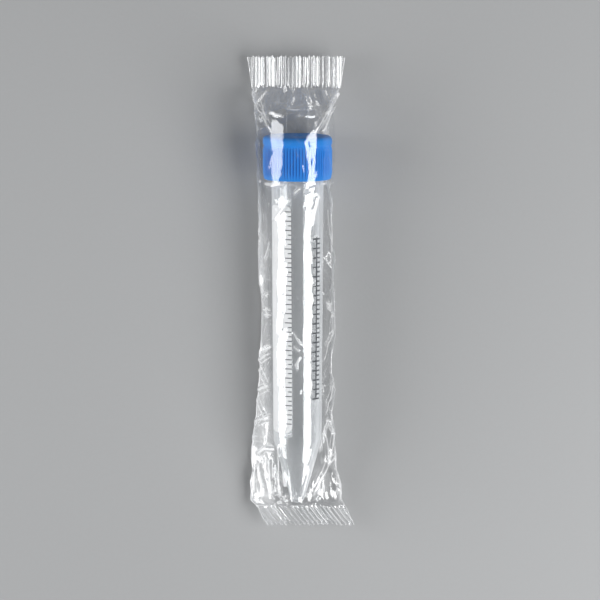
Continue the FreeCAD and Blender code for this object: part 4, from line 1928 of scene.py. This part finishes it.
    def _seam(self) -> bpy.types.Object:
        """Makes the back seam, two layers folded flat under the sleeve.

        Returns:
            The seam, a closed thin shell.
        """
        low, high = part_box("back_fin_seal")
        half = (high.x - low.x) / 2 / MM
        ys = np.linspace(self.foot_edge + 0.3, self.head_edge - 0.3, 320)
        sections = self._section_rows(ys)
        loop = []
        for side in (1, -1):
            for t in np.linspace(-side, side, 28):
                loop.append((t, side * 0.09 + 0.015 * math.cos(t * 22)))
        grid = np.empty((len(ys), len(loop), 3))
        for row, (y, section) in enumerate(zip(ys, sections)):
            middle = max(section[2] - 0.17, 0.14)
            drift = 0.25 * math.sin(y / 9.0) + 0.1 * math.sin(y / 3.1)
            for column, (t, rise) in enumerate(loop):
                grid[row, column] = (t * (half - 0.4) + drift * 0.5, y, middle + rise)
        faces = grid_faces(len(ys), len(loop), True)
        total = len(ys) * len(loop)
        faces += [tuple(range(len(loop))), tuple(range(total - len(loop), total))]
        made = make_piece("back_seam", grid.reshape(-1, 3), faces)
        close_up(made)
        knurl = np.tile([0.03 + 0.03 * math.cos(t * 22) for t, _ in loop], len(ys))
        kept = len(made.data.vertices)
        mark_film(made, knurl[:kept], np.full(kept, 0.05))
        return made


# ---------------------------------------------------------------- studio


@dataclass(frozen=True)
class Softbox:
    """One area light, aimed at the middle of the object."""

    name: str
    lean: float
    width: float
    power: float
    pitch: float = 25.0
    distance: float = 0.70
    length: float = 0.72

    def build(self, aim: Vector) -> None:
        """Makes the light.

        Args:
            aim: The point that it faces.
        """
        lamp = bpy.data.lights.new(self.name, "AREA")
        lamp.shape = "RECTANGLE"
        lamp.size = self.width
        lamp.size_y = self.length
        lamp.energy = self.power
        made = add_object(self.name, lamp)
        pitch = Matrix.Rotation(math.radians(self.pitch), 4, "X")
        lean = Matrix.Rotation(math.radians(self.lean), 4, "Y")
        out = Matrix.Translation((0, 0, self.distance))
        made.matrix_world = Matrix.Translation(aim) @ (pitch @ lean) @ out


@dataclass
class Studio:
    """Floor, lights and camera."""

    frame_width: float = 0.1946
    distance: float = 1.4
    tilt: float = 4.6
    shift_x: float = 0.0008
    shift_y: float = -0.0024
    lights: tuple[Softbox, ...] = (
        Softbox("right_softbox", lean=44.0, width=0.40, power=6.4),
        Softbox("left_softbox", lean=-71.0, width=0.46, power=5.6),
    )
    floor: FloorFinish = FloorFinish("pale_floor")
    floor_side: float = 1.6
    air: tuple[float, float, float, float] = (0.94, 0.97, 1.0, 1.0)
    air_strength: float = 0.11

    def build(self) -> None:
        """Makes everything that isn't the object."""
        aim = Vector((self.shift_x, self.shift_y, 0.01))
        side = self.floor_side / MM
        corners = [(-side, -side, 0), (side, -side, 0), (side, side, 0), (-side, side, 0)]
        ground = make_piece("floor", corners, [(0, 1, 2, 3)], smooth=False)
        ground.data.materials.append(self.floor.material())
        for light in self.lights:
            light.build(aim)
        world = bpy.data.worlds.new("studio_air")
        world.use_nodes = True
        sky = world.node_tree.nodes["Background"]
        sky.inputs["Color"].default_value = self.air
        sky.inputs["Strength"].default_value = self.air_strength
        bpy.context.scene.world = world
        self._camera(aim)

    def _camera(self, aim: Vector) -> None:
        """Makes the long-lens camera above the object, a little to the cap's side.

        Args:
            aim: The point that it faces.
        """
        data = bpy.data.cameras.new("camera")
        data.sensor_width = 36.0
        data.lens = data.sensor_width * self.distance / self.frame_width
        data.clip_end = 20.0
        made = add_object("camera", data)
        lean = math.radians(self.tilt)
        made.location = aim + Vector((0, math.sin(lean), math.cos(lean))) * self.distance
        made.rotation_euler = (-lean, 0, 0)
        bpy.context.scene.camera = made


# ---------------------------------------------------------------- the whole


def ride_all(pieces: Iterable[bpy.types.Object], body: str) -> None:
    """Puts pieces on a body and reports them.

    Args:
        pieces: The pieces.
        body: The body's name in the record.
    """
    for piece in pieces:
        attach(piece, body)
        LOG.info("%s rides on %s, %d faces", piece.name, body, len(piece.data.polygons))


def main() -> None:
    """Builds every part in order."""
    logging.basicConfig(level=logging.INFO, format="%(message)s")
    scene = bpy.context.scene
    scene.view_settings.view_transform = "Standard"
    scene.cycles.transparent_max_bounces = CLEAR_BOUNCES
    axis = LeaningAxis.from_joints(frame["joints"])
    tube = Tube(axis)
    ride_all(tube.build_walls(), "tube")
    ride_all([tube.build_strip()], "tube")
    ride_all(tube.build_marks(), "tube")
    liner = frame["nodes"]["cap_liner"]
    liner.data.materials.clear()
    liner.data.materials.append(FoamFinish("liner_foam").material())
    cap = Cap(axis)
    ride_all(cap.build(), "cap")
    wrapper = Wrapper(axis, tube, cap)
    film = wrapper.build()
    ride_all(film, "wrapper")
    length = (wrapper.head_edge - wrapper.foot_edge) * MM
    wrapper.girth * MM
    Studio().build()


if __name__ == "__main__":
    main()
